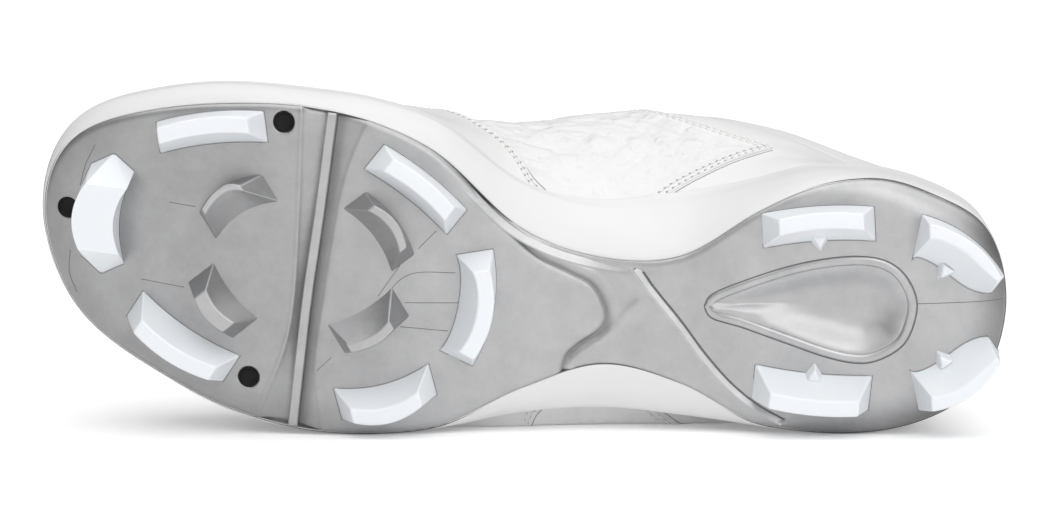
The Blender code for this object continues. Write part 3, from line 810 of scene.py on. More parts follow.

# Painted shade on the plate's silver: round the heel's and the toe's edges, over the forefoot and in the
# step and flex grooves
HEEL_SHADE = 0.45
HEEL_SHADE_WIDTH = 12.0
HEEL_SHADE_MEDIAL = (16.0, 32.0)
LATERAL_SHADE_SHARE = 0.85
LATERAL_SHADE_FRONT = (50.0, 75.0)
LATERAL_SHADE_SIDE = (-24.0, -8.0)
FOREFOOT_SHADE = 0.13
FOREFOOT_SHADE_RUN = (140.0, 220.0)
TOE_SHADE = 0.2
TOE_SHADE_WIDTH = 12.0
TOE_SHADE_TIP = (245.0, 262.0)
TOE_SHADE_LATERAL = (-10.0, 8.0)
TOE_SHADE_REAR = (175.0, 205.0)
STEP_SHADE = 0.5
STEP_SHADE_WIDTH = 0.8
FLEX_SHADE = 0.32
FLEX_SHADE_AT = -2.9
FLEX_SHADE_WIDTH = 1.7

# Mesh of the plate
PLATE_STATIONS = 541
PLATE_LANES = 165
PLATE_END_CROWDING = 1.2
PLATE_END_WIDTH = 8.0
FLEX_CROWDING_WIDTH = 15.0


def heel_share(x):
    """How far the plate's edge takes its rounder form, towards the back of the heel."""
    return fade(x, *HEEL_FRONT)


def edge_drop(x):
    """How far the plate's edge curls up at its outline."""
    return PLATE_EDGE_DROP + (HEEL_EDGE_DROP - PLATE_EDGE_DROP) * heel_share(x)


def stud_frame(stud):
    """Directions along the stud and towards its outer side, and its centre in plan."""
    heading = math.radians(stud["heading"])
    along = np.array([math.cos(heading), math.sin(heading)])
    outward = np.array([-math.sin(heading), math.cos(heading)])
    return along, outward, np.array([stud["x"], stud["y"]])


def stud_outline(row):
    """Closed plan outline of a stud's foot."""
    points, _ = stud_mesh(dict(zip(STUD_COLUMNS, row)), STUD_HEIGHT, STUD_TIP_WIDTH)
    feet = np.array(points)[:, :2]
    outer = feet[0::STUD_SECTION_POINTS]
    inner = feet[1::STUD_SECTION_POINTS]
    return np.concatenate([outer, inner[::-1], outer[:1]])


def edge_curl(plan):
    """How far the plate's face falls back towards its outline, and the distance from it."""
    from_edge = np.abs(line_gap(plan, PLATE_OUTLINE)[0])
    reach = PLATE_EDGE_ROUND + (HEEL_EDGE_ROUND - PLATE_EDGE_ROUND) * heel_share(plan[..., 0])
    near_edge = np.clip(1.0 - from_edge / reach, 0.0, 1.0)
    return edge_drop(plan[..., 0]) * (1.0 - np.sqrt(1.0 - near_edge**2)), from_edge


def flex_valley(plan):
    """Depth of the valley across the forefoot: a soft front slope and a shallow rear one."""
    front_gap = line_gap(plan, FLEX_FRONT)[0]
    rib_gap = line_gap(plan, FLEX_RIB)[0]
    behind_front = np.maximum(-front_gap, 0.0)
    before_rear = np.maximum(line_gap(plan, FLEX_REAR)[0], 0.0)
    from_rib = np.abs(rib_gap) + TINY
    front_share = behind_front / (behind_front + from_rib)
    rear_share = before_rear / (before_rear + from_rib)
    front_side = FLEX_DEPTH * np.sin(front_share * math.pi / 2.0)
    lip = FLEX_REAR_LIP * ramp(before_rear, 0.0, FLEX_REAR_LIP_RUN)
    rear_side = lip + (FLEX_DEPTH - FLEX_REAR_LIP) * rear_share
    crest = FLEX_CREST * hump(front_gap, FLEX_CREST_WIDTH)
    return np.where(rib_gap > 0.0, front_side, rear_side) - crest


def plate_rise(plan):
    """How far the plate's face stands out from its plain underside, in millimetres."""
    x = plan[..., 0]
    y = plan[..., 1]
    curl, from_edge = edge_curl(plan)
    behind_step = -line_gap(plan, STEP)[0]
    before_ridge = line_gap(plan, RIDGE)[0]
    rise = -WAIST_DEPTH * ramp(behind_step, *STEP_RUN) * ramp(before_ridge, *WAIST_RUN)
    rise -= STEP_VALLEY_DEPTH * np.exp(-np.abs(behind_step) / STEP_VALLEY_WIDTH)
    rise += STEP_BEAD_HEIGHT * hump(behind_step - STEP_BEAD_AT, STEP_BEAD_WIDTH)
    rise += FOLD_HEIGHT * hump(line_gap(plan, WAIST_FOLD)[0], FOLD_WIDTH)
    rise -= flex_valley(plan)
    ridge_span = plateau(before_ridge, RIDGE_CUT_REAR, RIDGE_CUT_FRONT)
    rise -= RIDGE_CUT * ridge_span * ramp(from_edge, *RIDGE_CUT_EDGE)
    ledge_span = plateau(x, LEDGE_REAR, LEDGE_FRONT) * ramp(y, *LEDGE_SIDE) * ramp(behind_step, *LEDGE_STEP)
    rise -= LEDGE_DEPTH * fade(from_edge, *LEDGE_EDGE) * ledge_span
    inside = inside_gap(plan, TEARDROP)
    rise -= TEARDROP_RIM_DEPTH * ramp(inside, 0.0, TEARDROP_RIM)
    rise -= TEARDROP_DEPTH * (1.0 - hump(np.maximum(inside - TEARDROP_RIM, 0.0), TEARDROP_BOWL))
    spine_gap, spine_along = line_gap(plan, TEARDROP_SPINE)
    spine = hump(spine_gap, SPINE_WIDTH + SPINE_WIDENING * spine_along) * (1.0 - spine_along)
    rise += SPINE_HEIGHT * spine * ramp(inside, *SPINE_RIM)
    for _, hole_x, hole_y in INSERT_ROWS:
        rise -= INSERT_HOLE_DEPTH * fade(np.hypot(x - hole_x, y - hole_y), *INSERT_HOLE_EDGE)
    return rise - curl * (1.0 - LEDGE_FLATNESS * ledge_span)


def plate_painted_shade(plan):
    """Share of the silver's full tone left by painted shade: less round the heel, over the forefoot and in
    the grooves.
    """
    x = plan[..., 0]
    y = plan[..., 1]
    from_edge = edge_curl(plan)[1]
    # Painted shade and painted reflection along the curled rim of the heel and the rear lateral side
    back = heel_share(x) * fade(y, *HEEL_SHADE_MEDIAL)
    lateral = fade(x, *LATERAL_SHADE_FRONT) * fade(y, *LATERAL_SHADE_SIDE)
    heel = np.maximum(back, LATERAL_SHADE_SHARE * lateral) * fade(from_edge, 0.0, HEEL_SHADE_WIDTH)
    # Painted shade along the edge of the toe and of the lateral forefoot
    toe = np.maximum(ramp(x, *TOE_SHADE_TIP), fade(y, *TOE_SHADE_LATERAL)) * ramp(x, *TOE_SHADE_REAR)
    toe = toe * fade(from_edge, 0.0, TOE_SHADE_WIDTH)
    # Painted shade in the hollows of the step and of the flex groove behind the rib
    step = hump(line_gap(plan, STEP)[0], STEP_SHADE_WIDTH)
    flex = hump(line_gap(plan, FLEX_RIB)[0] - FLEX_SHADE_AT, FLEX_SHADE_WIDTH)
    # Painted shade over the forefoot, darker towards the toe
    tone = 1.0 - FOREFOOT_SHADE * ramp(x, *FOREFOOT_SHADE_RUN)
    for shade, share in ((HEEL_SHADE, heel), (TOE_SHADE, toe), (STEP_SHADE, step), (FLEX_SHADE, flex)):
        tone = tone * (1.0 - shade * share)
    return tone


def plate_crowding(x):
    """How much closer than usual the plate's stations stand, at both ends and in the flex groove."""
    ends = hump(x - PLATE_FIRST_X, PLATE_END_WIDTH) + hump(x - PLATE_LAST_X, PLATE_END_WIDTH)
    return PLATE_END_CROWDING * ends + hump(x - FLEX_MIDDLE_X, FLEX_CROWDING_WIDTH)


def add_plate(material):
    """The moulded plate: a fine face, a side wall and a plain back under the midsole."""
    x = crowded(PLATE_FIRST_X, PLATE_LAST_X, PLATE_STATIONS, plate_crowding)
    v = station(x, PLATE_FIRST_X, PLATE_LAST_X)
    medial = plate_loop(v)[:, 1]
    lateral = plate_loop(2.0 - v)[:, 1]
    lane = np.linspace(0.0, 1.0, PLATE_LANES)
    y = lateral[:, None] + (medial - lateral)[:, None] * lane
    plan = np.stack([np.broadcast_to(x[:, None], y.shape), y], axis=-1)
    face = raised(plan, tread(plan[..., 0]) - plate_rise(plan))
    back = face[:, (0, -1)].copy()
    back[..., 2] = tread(back[..., 0]) + PLATE_THICKNESS + edge_drop(back[..., 0])
    points = np.concatenate([face.reshape(-1, 3), back.reshape(-1, 3)])
    faces = grid_faces(PLATE_STATIONS, PLATE_LANES)
    start = PLATE_STATIONS * PLATE_LANES
    for i in range(PLATE_STATIONS - 1):
        low = i * PLATE_LANES
        high = low + PLATE_LANES - 1
        here = start + 2 * i
        faces.append((low, low + PLATE_LANES, here + 2, here))
        faces.append((high + PLATE_LANES, high, here + 1, here + 3))
        faces.append((here, here + 2, here + 3, here + 1))
    obj = add_piece("plate", points, faces, material, "plate", ("outsole",))
    # The plate's painted shade, kept on its points
    tone = obj.data.attributes.new(PAINTED_SHADE_ATTRIBUTE, "FLOAT", "POINT")
    tone.data.foreach_set("value", plate_painted_shade(points[:, :2]))
    weld(obj)


def sweep(line, section, base, closed=False):
    """Points and faces of a section carried along a plan line, over a base above the underside."""
    ahead = np.roll(line, -1, axis=0) - np.roll(line, 1, axis=0) if closed else np.gradient(line, axis=0)
    left = left_of(unit(ahead))
    rails = []
    for across, rise in section:
        plan = line + left * across
        rails.append(raised(plan, tread(plan[:, 0]) - base - rise))
    points = np.stack(rails, axis=1).reshape(-1, 3)
    if closed:
        return points, ring_faces(len(line), len(section), closed_stack=True)
    return points, capped_faces(len(line), len(section))


def on_plate(line, margin):
    """The part of a plan line that lies within the plate's outline."""
    return line[inside_gap(line, PLATE_OUTLINE) > margin]


# Sections carried along the plate's lines: distance to the left and rise above the base
RIB_SECTION = ((-1.45, -3.0), (-1.35, -0.25), (-1.1, 0.0), (1.1, 0.0), (1.35, -0.25), (1.45, -3.0))
RIDGE_SECTION = ((-0.9, -1.2), (-0.85, -0.62), (0.95, 0.03), (1.2, 0.03), (1.4, -1.2))
WELT_SECTION = ((1.5, -0.8), (1.4, -0.1), (0.9, 0.1), (-0.6, 0.6), (-1.05, 0.5), (-1.4, -0.8))
RIM_SECTION = ((-0.7, -0.8), (-0.6, 0.05), (-0.3, 0.25), (0.3, 0.32), (1.1, 0.28), (1.6, 0.08),
               (1.9, -0.3), (2.1, -1.4))
LINE_SECTION = ((-0.16, -0.5), (-0.16, 0.05), (0.16, 0.05), (0.16, -0.5))
EDGE_LINE_SECTION = ((-0.32, -0.5), (-0.32, 0.05), (0.32, 0.05), (0.32, -0.5))
FINE_LINE_SECTION = ((-0.09, -0.4), (-0.09, 0.04), (0.09, 0.04), (0.09, -0.4))
RIB_MARGIN = 0.2
RIDGE_MARGIN = 1.5
TEARDROP_LINE_AT = -0.8
RIDGE_LINE_AT = -1.0
RIDGE_LINE_MARGIN = 2.5
RIDGE_LINE_SINK = 0.05
RIB_LINE_AT = -1.7
RIB_LINE_MARGIN = 0.6
EDGE_LINE_RISE = 0.1
EDGE_LINE_SAMPLES = 601


def add_plate_details(silver, trim, dark):
    """The rib, the waist's ridge and welt and the teardrop's rim, and dark strips of painted shade where
    parts meet, besides the mould's own lines.
    """
    rib = on_plate(FLEX_RIB, RIB_MARGIN)
    ridge = on_plate(RIDGE, RIDGE_MARGIN)
    span = np.linspace(*station(np.array(WELT_ENDS), PLATE_FIRST_X, PLATE_LAST_X), WELT_SAMPLES)
    welt = moved_out(plate_loop, span, -WELT_INSET)
    sunk = WELT_SINK * (1.0 - np.sin(np.linspace(0.0, math.pi, WELT_SAMPLES)) ** WELT_SINK_POWER)
    for name, line, section, base, material in (
        ("flex_rib", rib, RIB_SECTION, -edge_curl(rib)[0], silver),
        ("waist_ridge", ridge, RIDGE_SECTION, -edge_curl(ridge)[0], trim),
        ("waist_welt", welt, WELT_SECTION, -LEDGE_DEPTH - sunk, trim),
    ):
        obj = add_piece(name, *sweep(line, section, base), material, "plate")
        obj.data.shade_flat()
    rim = TEARDROP[:-1]
    add_piece("teardrop_rim", *sweep(rim, RIM_SECTION, np.zeros(len(rim)), True), trim, "plate")
    # Painted shade: dark strips round the teardrop, beside the ridge and the rib, round the studs' feet and
    # along the plate's edge; the mould lines are marks of the plate itself
    lines = Patchwork()
    outline = offset_line(TEARDROP, TEARDROP_LINE_AT)[:-1]
    lines.add(*sweep(outline, LINE_SECTION, plate_rise(outline), True))
    ridge_line = on_plate(offset_line(RIDGE, RIDGE_LINE_AT), RIDGE_LINE_MARGIN)
    lines.add(*sweep(ridge_line, LINE_SECTION, -edge_curl(ridge_line)[0] - RIDGE_LINE_SINK))
    rib_line = on_plate(offset_line(FLEX_RIB, RIB_LINE_AT), RIB_LINE_MARGIN)
    lines.add(*sweep(rib_line, LINE_SECTION, plate_rise(rib_line)))
    for line in MOULD_LINES:
        lines.add(*sweep(line, FINE_LINE_SECTION, plate_rise(line)))
    for row in STUD_ROWS:
        foot = stud_outline(row)[:-1]
        lines.add(*sweep(foot, FINE_LINE_SECTION, plate_rise(foot), True))
    edge = plate_loop(np.linspace(0.0, 2.0, EDGE_LINE_SAMPLES)[:-1])
    lines.add(*sweep(edge, EDGE_LINE_SECTION, EDGE_LINE_RISE - edge_drop(edge[:, 0]), True))
    lines.piece("plate_shade_and_mould_lines", dark, "plate")


def weld(obj):
    """Joins points that lie on each other, as at the ends of the plate's lanes."""
    work = bmesh.new()
    work.from_mesh(obj.data)
    bmesh.ops.remove_doubles(work, verts=work.verts, dist=TINY)
    bmesh.ops.recalc_face_normals(work, faces=work.faces)
    work.to_mesh(obj.data)
    work.free()
    obj.data.shade_smooth()


STUD_BOW_MIDDLE = 0.5
PEAK_NARROWING = 0.05
CORNER_POWER = 3
TIP_CORNER_ALONG = 0.5
TIP_CORNER_OUT = 0.3


def stud_mesh(stud, height, usual_tip_width):
    """Points and faces of a bowed wedge with drafted ends and a flat tip."""
    tip_width = STUD_TIP_WIDTHS.get(stud["name"], usual_tip_width)
    rear_draft, front_draft = STUD_END_DRAFTS.get(stud["name"], (STUD_END_DRAFT, STUD_END_DRAFT))
    along, outward, centre = stud_frame(stud)
    half_width = stud["width"] / 2.0
    half_length = stud["length"] / 2.0
    tip_outer = half_width - STUD_OUTER_DRAFTS.get(stud["name"], STUD_OUTER_DRAFT)
    tip_height = float(tread(stud["x"])) - height
    peak = STUD_PEAKS.get(stud["name"], 0.0)
    corners = STUD_CORNERS.get(stud["name"], ((0.0, 0.0), (0.0, 0.0)))
    points = []

    def add_ring(k, past_end, narrowing):
        """One section at a place from -1, the rear end, to 1, the front end."""
        (rear_along, rear_out), (front_along, front_out) = corners
        near_rear = max(-k, 0.0) ** CORNER_POWER
        near_front = max(k, 0.0) ** CORNER_POWER
        corner_along = near_front * front_along - near_rear * rear_along
        corner_out = near_front * front_out + near_rear * rear_out
        tip_reach = half_length - (front_draft if k > 0.0 else rear_draft)
        section = (
            (half_width, half_length, False, 0.0, 0.0),
            (-half_width, half_length, False, corner_along, corner_out),
            (tip_outer - tip_width, tip_reach, True,
             TIP_CORNER_ALONG * corner_along, TIP_CORNER_OUT * corner_out),
            (tip_outer, tip_reach, True, 0.0, 0.0),
        )
        for across, reach, is_tip, shift, out in section:
            bowed = across * narrowing + out + stud["bow"] * (STUD_BOW_MIDDLE - k * k)
            held = reach if narrowing == 1.0 else half_length
            x, y = centre + along * (held * k + shift + past_end) + outward * bowed
            foot = float(tread(x)) + STUD_SINK
            points.append((x, y, tip_height if is_tip and narrowing == 1.0 else foot))

    if peak:
        add_ring(-1.0, -peak, PEAK_NARROWING)
    for k in np.linspace(-1.0, 1.0, STUD_STATIONS):
        add_ring(k, 0.0, 1.0)
    if peak:
        add_ring(1.0, peak, PEAK_NARROWING)
    return points, capped_faces(len(points) // STUD_SECTION_POINTS, STUD_SECTION_POINTS)


NUB_HALF_WIDTH = 3.6
NUB_REACH = 3.4
NUB_HEIGHT = 3.0
NUB_FOOT_INSET = 1.5
NUB_TOP_INSET = 2.0
NUB_TOP_SHARE = 0.5


def nub_mesh(stud):
    """Points and faces of the small pointed nub on a heel stud's inner side."""
    along, outward, centre = stud_frame(stud)
    inner = -stud["width"] / 2.0 + stud["bow"] * STUD_BOW_MIDDLE
    foot = float(tread(stud["x"]))
    points = []
    for share, inset, height in ((1.0, NUB_FOOT_INSET, foot + STUD_SINK),
                                 (NUB_TOP_SHARE, NUB_TOP_INSET, foot - NUB_HEIGHT)):
        side = share * NUB_HALF_WIDTH
        for a, b in ((side, inner + inset), (0.0, inner - share * NUB_REACH), (-side, inner + inset)):
            points.append((*(centre + along * a + outward * b), height))
    return points, [(0, 1, 2), (3, 5, 4), (0, 1, 4, 3), (1, 2, 5, 4), (2, 0, 3, 5)]


SOFT_EDGE_SEGMENTS = 4
SOFT_EDGE_ANGLE = 28.0
STUD_EDGE = 0.6
INNER_STUD_EDGE = 0.5
TIP_FACING = 0.95


def round_edges(obj, width):
    """Soft edges where faces meet at a clear angle."""
    bevel = obj.modifiers.new("soft_edges", "BEVEL")
    bevel.width = width * MM
    bevel.segments = SOFT_EDGE_SEGMENTS
    bevel.limit_method = "ANGLE"
    bevel.angle_limit = math.radians(SOFT_EDGE_ANGLE)
    bevel.use_clamp_overlap = True
    bevel.harden_normals = True


def add_studs(white, shaded, silver):
    """The white studs, and the plate's own inner studs: tips in the usual silver, walls in a darker copy
    that paints shade on them.
    """
    underneath = -Vector(REST_TURN[:, 2])
    for row in STUD_ROWS:
        stud = dict(zip(STUD_COLUMNS, row))
        parts = Patchwork()
        parts.add(*stud_mesh(stud, STUD_HEIGHT, STUD_TIP_WIDTH))
        if "heel" in stud["name"]:
            parts.add(*nub_mesh(stud))
        obj = parts.piece(stud["name"] + "_wedge", white, "stud", (stud["name"],))
        round_edges(obj, STUD_EDGE)
    for row in INNER_STUD_ROWS:
        stud = dict(zip(STUD_COLUMNS, row))
        points, faces = stud_mesh(stud, INNER_STUD_HEIGHT, INNER_STUD_TIP_WIDTH)
        obj = add_piece(stud["name"], points, faces, shaded, "plate")
        obj.data.materials.append(silver)
        for face in obj.data.polygons:
            if face.normal.dot(underneath) > TIP_FACING:
                face.material_index = 1
        round_edges(obj, INNER_STUD_EDGE)


INSERT_SIDES = 48
# Radius and height above the plate's underside of the insert's turned section
INSERT_SECTION = ((3.05, -1.6), (3.05, 0.06), (2.95, 0.14), (2.75, 0.12), (2.55, -0.35),
                  (1.9, -0.85), (1.0, -1.0), (0.25, -1.02))


def add_inserts(material):
    """The round black inserts, each a shallow dish."""
    spokes = circle(np.array([1.0, 0.0]), np.array([0.0, 1.0]), INSERT_SIDES)
    for name, x, y in INSERT_ROWS:
        rings = []
        for radius, rise in INSERT_SECTION:
            plan = np.array([x, y]) + radius * spokes
            rings.append(raised(plan, tread(plan[:, 0]) - rise))
        faces = capped_faces(len(rings), INSERT_SIDES)
        add_piece(name + "_dish", np.concatenate(rings), faces, material, "insert", (name,))


# Midsole
MIDSOLE_STATIONS = 480
MIDSOLE_ROWS = 26
MIDSOLE_OVERLAP = 0.15
MIDSOLE_TOP_GAP = 0.2
PLATE_LIP = 0.05
PLATE_LIP_WIDTH = 0.16
LIP_LEVEL = 0.012
LIP_LIFT = 0.2
LIP_TUCK = 0.6
ARCH_LIP_PLACE = 0.40
ARCH_LIP_SPREAD = 0.065
ARCH_LIP_RISE = 0.078
ARCH_FLARE_SPREAD = 0.14
SLOPE_PLACE = 0.44
SLOPE_SPREAD = 0.19
# Rings of the side wall: share of the way out to the rim, shares of the way on to the lip everywhere
# and along the arch, usual height in millimetres over the plate's edge or as a share of the wall's
# rise, and share of the rise along the medial arch
WALL_ROWS = (
    (0.62, 0.0, 0.0, 1.5, None, 0.31),
    (0.97, 0.0, 0.15, 4.5, None, 0.68),
    (1.0, 0.0, 0.42, None, 0.62, 0.80),
    (1.0, 0.72, 0.0, None, 0.88, 0.905),
)


def add_midsole(material):
    """The foam layer: a lip round the plate, a swelling side and a thin top edge on the upper."""
    v = np.arange(MIDSOLE_STATIONS) * 2.0 / MIDSOLE_STATIONS
    level = LIP_LEVEL + ARCH_LIP_RISE * hump(v - ARCH_LIP_PLACE, ARCH_LIP_SPREAD)
    lip = upper_surface(v, level, LIP_LIFT)
    inner = moved_out(plate_loop, v, -MIDSOLE_OVERLAP)
    rim = rim_loop(v)
    base = tread(rim[:, 0])
    drop = edge_drop(rim[:, 0])
    foot = tread(inner[:, 0]) + edge_drop(inner[:, 0])
    rise = lip[:, 2] - base
    arch = hump(fold(v) - ARCH_LIP_PLACE, ARCH_FLARE_SPREAD)
    slope = hump(v - SLOPE_PLACE, SLOPE_SPREAD)
    control = [
        raised(inner, foot + PLATE_THICKNESS + MIDSOLE_TOP_GAP),
        raised(inner, foot + PLATE_LIP),
        raised(inner + (rim - inner) * PLATE_LIP_WIDTH, foot),
    ]
    for out, to_lip, arch_to_lip, over_edge, rise_share, arch_share in WALL_ROWS:
        plan = inner + (rim - inner) * out + (lip[:, :2] - rim) * (to_lip + arch_to_lip * arch)[:, None]
        usual = rise_share * rise if over_edge is None else over_edge + drop
        control.append(raised(plan, base + usual + (arch_share * rise - usual) * slope))
    control += [lip, beside_upper(v, level, -LIP_TUCK)]
    knots = np.arange(len(control), dtype=float)
    where = np.linspace(0.0, len(control) - 1.0, MIDSOLE_ROWS)
    flat = np.stack(control).reshape(len(control), -1)
    rings = np.stack([smooth(knots, flat[:, k], where) for k in range(flat.shape[1])], axis=-1)
    faces = laddered_faces(MIDSOLE_ROWS, MIDSOLE_STATIONS)
    add_piece("midsole_foam", rings.reshape(-1, 3), faces, material, "foam", ("midsole",))


# Upper: seams are lines in the side view, x along the foot and z up
FRONT_SEAM = curve_through(((128.0, 24.0), (133.4, 26.8), (137.6, 28.9), (139.8, 31.5), (142.2, 34.5),
                            (145.1, 37.3), (148.6, 40.2), (152.9, 43.8), (158.0, 49.0), (165.0, 56.0),
                            (175.0, 66.0), (186.0, 80.0)))
REAR_SEAM = curve_through(((107.0, 26.0), (98.1, 31.6), (91.2, 34.8), (86.2, 36.6), (78.4, 39.4),
                           (71.3, 42.0), (66.6, 44.2)))
COLLAR_SEAM = curve_through(((66.0, 45.5), (74.0, 50.5), (83.0, 55.5), (92.0, 61.0), (100.0, 67.5),
                             (107.0, 77.0), (113.0, 90.0), (116.0, 104.0)))
QUARTER_BACK = np.concatenate([REAR_SEAM, COLLAR_SEAM])
FRONT_EDGE = FRONT_SEAM[8:]
REAR_EDGE = REAR_SEAM[4:]

# Relief of the upper: rises in millimetres, levels up the wall, and pairs where a soft step starts and ends
COUNTER_LEVEL = -1.4
TOE_LEVEL = 0.3
QUARTER_LEVEL = -0.7
PANEL_EDGE = (-0.35, 0.35)
PANEL_FOOT = (0.0, 0.35)
PRESSED_BACK = (2.6, 4.0)
PRESSED_FRONT = (0.8, 2.0)
FLUSH_RISE = 1.8
FLUSH_FOOT = (0.0, 0.7)
COLLAR_RISE = 2.2
COLLAR_FRONT = (80.0, 110.0)
COLLAR_LEVEL = 1.72
COLLAR_SPREAD = 0.22
COLLAR_GROOVE = 0.5
COLLAR_GROOVE_FRONT = (80.0, 100.0)
COLLAR_GROOVE_LEVEL = 1.36
COLLAR_GROOVE_SPREAD = 0.05
PADDING = 3.0
PADDING_LEVEL = 1.75
PADDING_SPREAD = 0.25
WAIST_BULGE = 6.3
BULGE_SIDE = (-25.0, -15.0)
BULGE_REAR = (58.0, 86.0)
BULGE_FRONT = (140.0, 178.0)
BULGE_FOOT = (0.0, 0.18)
BULGE_TOP = (0.2, 0.75)
BULGE_TOP_SHARE = 0.8
# Bends across the vamp: depth, place at the ground, lean, half width and levels
VAMP_BENDS = (
    (0.7, 196.0, 0.35, 4.0, (0.6, 1.1)),
    (0.5, 206.0, 0.30, 3.5, (0.7, 1.2)),
)
FLOOR_CLEARANCE = 0.2
UPPER_STATION_COUNT = 560
UPPER_ROW_COUNT = 148
LINING_ROW_COUNT = 20
LINING_FOOT = 0.02
ROLL_STEPS = 9
NEAR_TOP = 1.98
QUARTER_CROWDING = 1.1
QUARTER_REAR = (0.24, 0.30)
QUARTER_FRONT = (0.56, 0.62)

# Families of creases in the side view: direction, spacing, bend, start and depth
CREASES = (
    (28.0, 9.5, 1.0, 0.0, 0.50),
    (-24.0, 11.5, -1.2, 0.3, 0.45),
    (64.0, 14.0, 0.8, 0.6, 0.40),
    (-58.0, 10.0, -0.9, 0.1, 0.32),
    (8.0, 5.2, 1.6, 0.45, 0.18),
)
CREASE_HALF_WIDTH = 0.75
# Waves that bend the creases: height, waves along x and z, and start
CREASE_BENDS = ((3.2, 0.11, 0.07, 1.0), (2.4, 0.05, -0.15, 0.0))
DIMPLE_DEPTH = 0.14
DIMPLE_ALONG = (0.31, 0.5)
DIMPLE_UP = (0.36, -0.4)


def crinkle(x, z):
    """Leaf-like creases pressed into the quarter, in millimetres."""
    bend = sum(height * np.sin(by_x * x + by_z * z + start) for height, by_x, by_z, start in CREASE_BENDS)
    along = np.sin(DIMPLE_ALONG[0] * x + DIMPLE_ALONG[1] * bend)
    relief = DIMPLE_DEPTH * along * np.sin(DIMPLE_UP[0] * z + DIMPLE_UP[1] * bend)
    for direction, spacing, bending, start, depth in CREASES:
        turn = math.radians(direction)
        across = z * math.cos(turn) - x * math.sin(turn) + bending * bend
        from_crease = np.abs(np.mod(across / spacing + start, 1.0) - 0.5) * spacing
        relief = relief - depth * np.exp(-from_crease / CREASE_HALF_WIDTH)
    return relief


def panels(points):
    """Shares of the toe overlay, of the quarter and of the quarter's crinkled middle."""
    view = points[..., (0, 2)]
    ahead = -line_gap(view, FRONT_SEAM, open_ends=True)[0]
    within = -line_gap(view, QUARTER_BACK, open_ends=True)[0]
    toe = ramp(ahead, *PANEL_EDGE)
    quarter = ramp(within, *PANEL_EDGE) * (1.0 - toe)
    return toe, quarter, quarter * ramp(within, *PRESSED_BACK) * ramp(-ahead, *PRESSED_FRONT)


def upper_relief(points, t):
    """How far panels, padding and creases stand out from the bare upper, in millimetres."""
    x = points[..., 0]
    z = points[..., 2]
    toe, quarter, pressed = panels(points)
    relief = COUNTER_LEVEL + (TOE_LEVEL - COUNTER_LEVEL) * toe
    relief += (QUARTER_LEVEL - COUNTER_LEVEL) * quarter
    relief += crinkle(x, z) * pressed
    relief = relief * ramp(t, *PANEL_FOOT) + FLUSH_RISE * fade(t, *FLUSH_FOOT)
    relief += COLLAR_RISE * fade(x, *COLLAR_FRONT) * hump(t - COLLAR_LEVEL, COLLAR_SPREAD)
    bulge = ramp(t, *BULGE_FOOT) * (1.0 - BULGE_TOP_SHARE * ramp(t, *BULGE_TOP))
    bulge = bulge * fade(points[..., 1], *BULGE_SIDE) * plateau(x, BULGE_REAR, BULGE_FRONT)
    relief += WAIST_BULGE * bulge
    groove = hump(t - COLLAR_GROOVE_LEVEL, COLLAR_GROOVE_SPREAD)
    relief -= COLLAR_GROOVE * groove * fade(x, *COLLAR_GROOVE_FRONT)
    for depth, at, lean, half_width, levels in VAMP_BENDS:
        relief -= depth * hump(x - at + lean * z, half_width) * ramp(t, *levels)
    return relief


def upper_surface(v, t, lift=0.0):
    """Outside of the finished upper, or a little above it, pressed flat where it meets the floor."""
    v, t = np.broadcast_arrays(np.asarray(v, float), np.asarray(t, float))
    bare = upper_skin(v, t)
    points = bare + upper_outward(v, t) * (upper_relief(bare, t) + lift)[..., None]
    sunk = np.maximum(FLOOR_CLEARANCE - place(points)[..., 2] / MM, 0.0)
    return points + sunk[..., None] * REST_TURN[2]


def lining_surface(v, level):
    """The lining at one level, deeper under the bare upper where the collar is padded."""
    t = np.full_like(v, level)
    padding = PADDING * fade(upper_skin(v, t)[..., 0], *COLLAR_FRONT)
    return beside_upper(v, t, -WALL - padding * hump(t - PADDING_LEVEL, PADDING_SPREAD))


def quarter_crowding(v):
    """How much closer than usual the upper's stations stand, over the crinkled quarters."""
    return QUARTER_CROWDING * plateau(fold(v), QUARTER_REAR, QUARTER_FRONT)


def add_upper(leather, lining, crinkled):
    """The shell from feather edge over the rolled top edge and down the lining."""
    v = crowded(0.0, 2.0, UPPER_STATION_COUNT + 1, quarter_crowding)[:-1]
    rows = [upper_surface(v, t) for t in np.linspace(0.0, 2.0, UPPER_ROW_COUNT)]
    edge = rows[-1]
    inside = lining_surface(v, 2.0)
    rim = (edge + inside) / 2.0
    reach = np.linalg.norm(edge - inside, axis=-1, keepdims=True) / 2.0
    up_wall = unit(upper_skin(v, 2.0) - upper_skin(v, NEAR_TOP))
    for turn in np.linspace(0.0, math.pi, ROLL_STEPS)[1:-1]:
        rows.append(rim + (edge - rim) * math.cos(turn) + up_wall * reach * math.sin(turn))
    outer_count = len(rows)
    rows += [lining_surface(v, t) for t in np.linspace(2.0, LINING_FOOT, LINING_ROW_COUNT)]
    faces = ring_faces(len(rows), UPPER_STATION_COUNT, closed_stack=True)
    points = np.concatenate(rows)
    obj = add_piece("upper_shell", points, faces, leather, "upper", ("upper",))
    obj.data.materials.append(lining)
    obj.data.materials.append(crinkled)
    first_lining_face = (outer_count - 1) * UPPER_STATION_COUNT
    which = np.zeros(len(obj.data.polygons), dtype=np.int32)
    which[first_lining_face:-UPPER_STATION_COUNT] = 1
    skin = np.stack(rows[:UPPER_ROW_COUNT - 1]).reshape(-1, 3)
    which[:len(skin)][panels(skin)[2] > 0.5] = 2
    obj.data.polygons.foreach_set("material_index", which)


# Search for a place on the upper: first level, rounds, and the farthest move of one round
SEARCH_LEVEL = 0.6
SEARCH_ROUNDS = 25
SEARCH_V = 0.05
SEARCH_T = 0.15


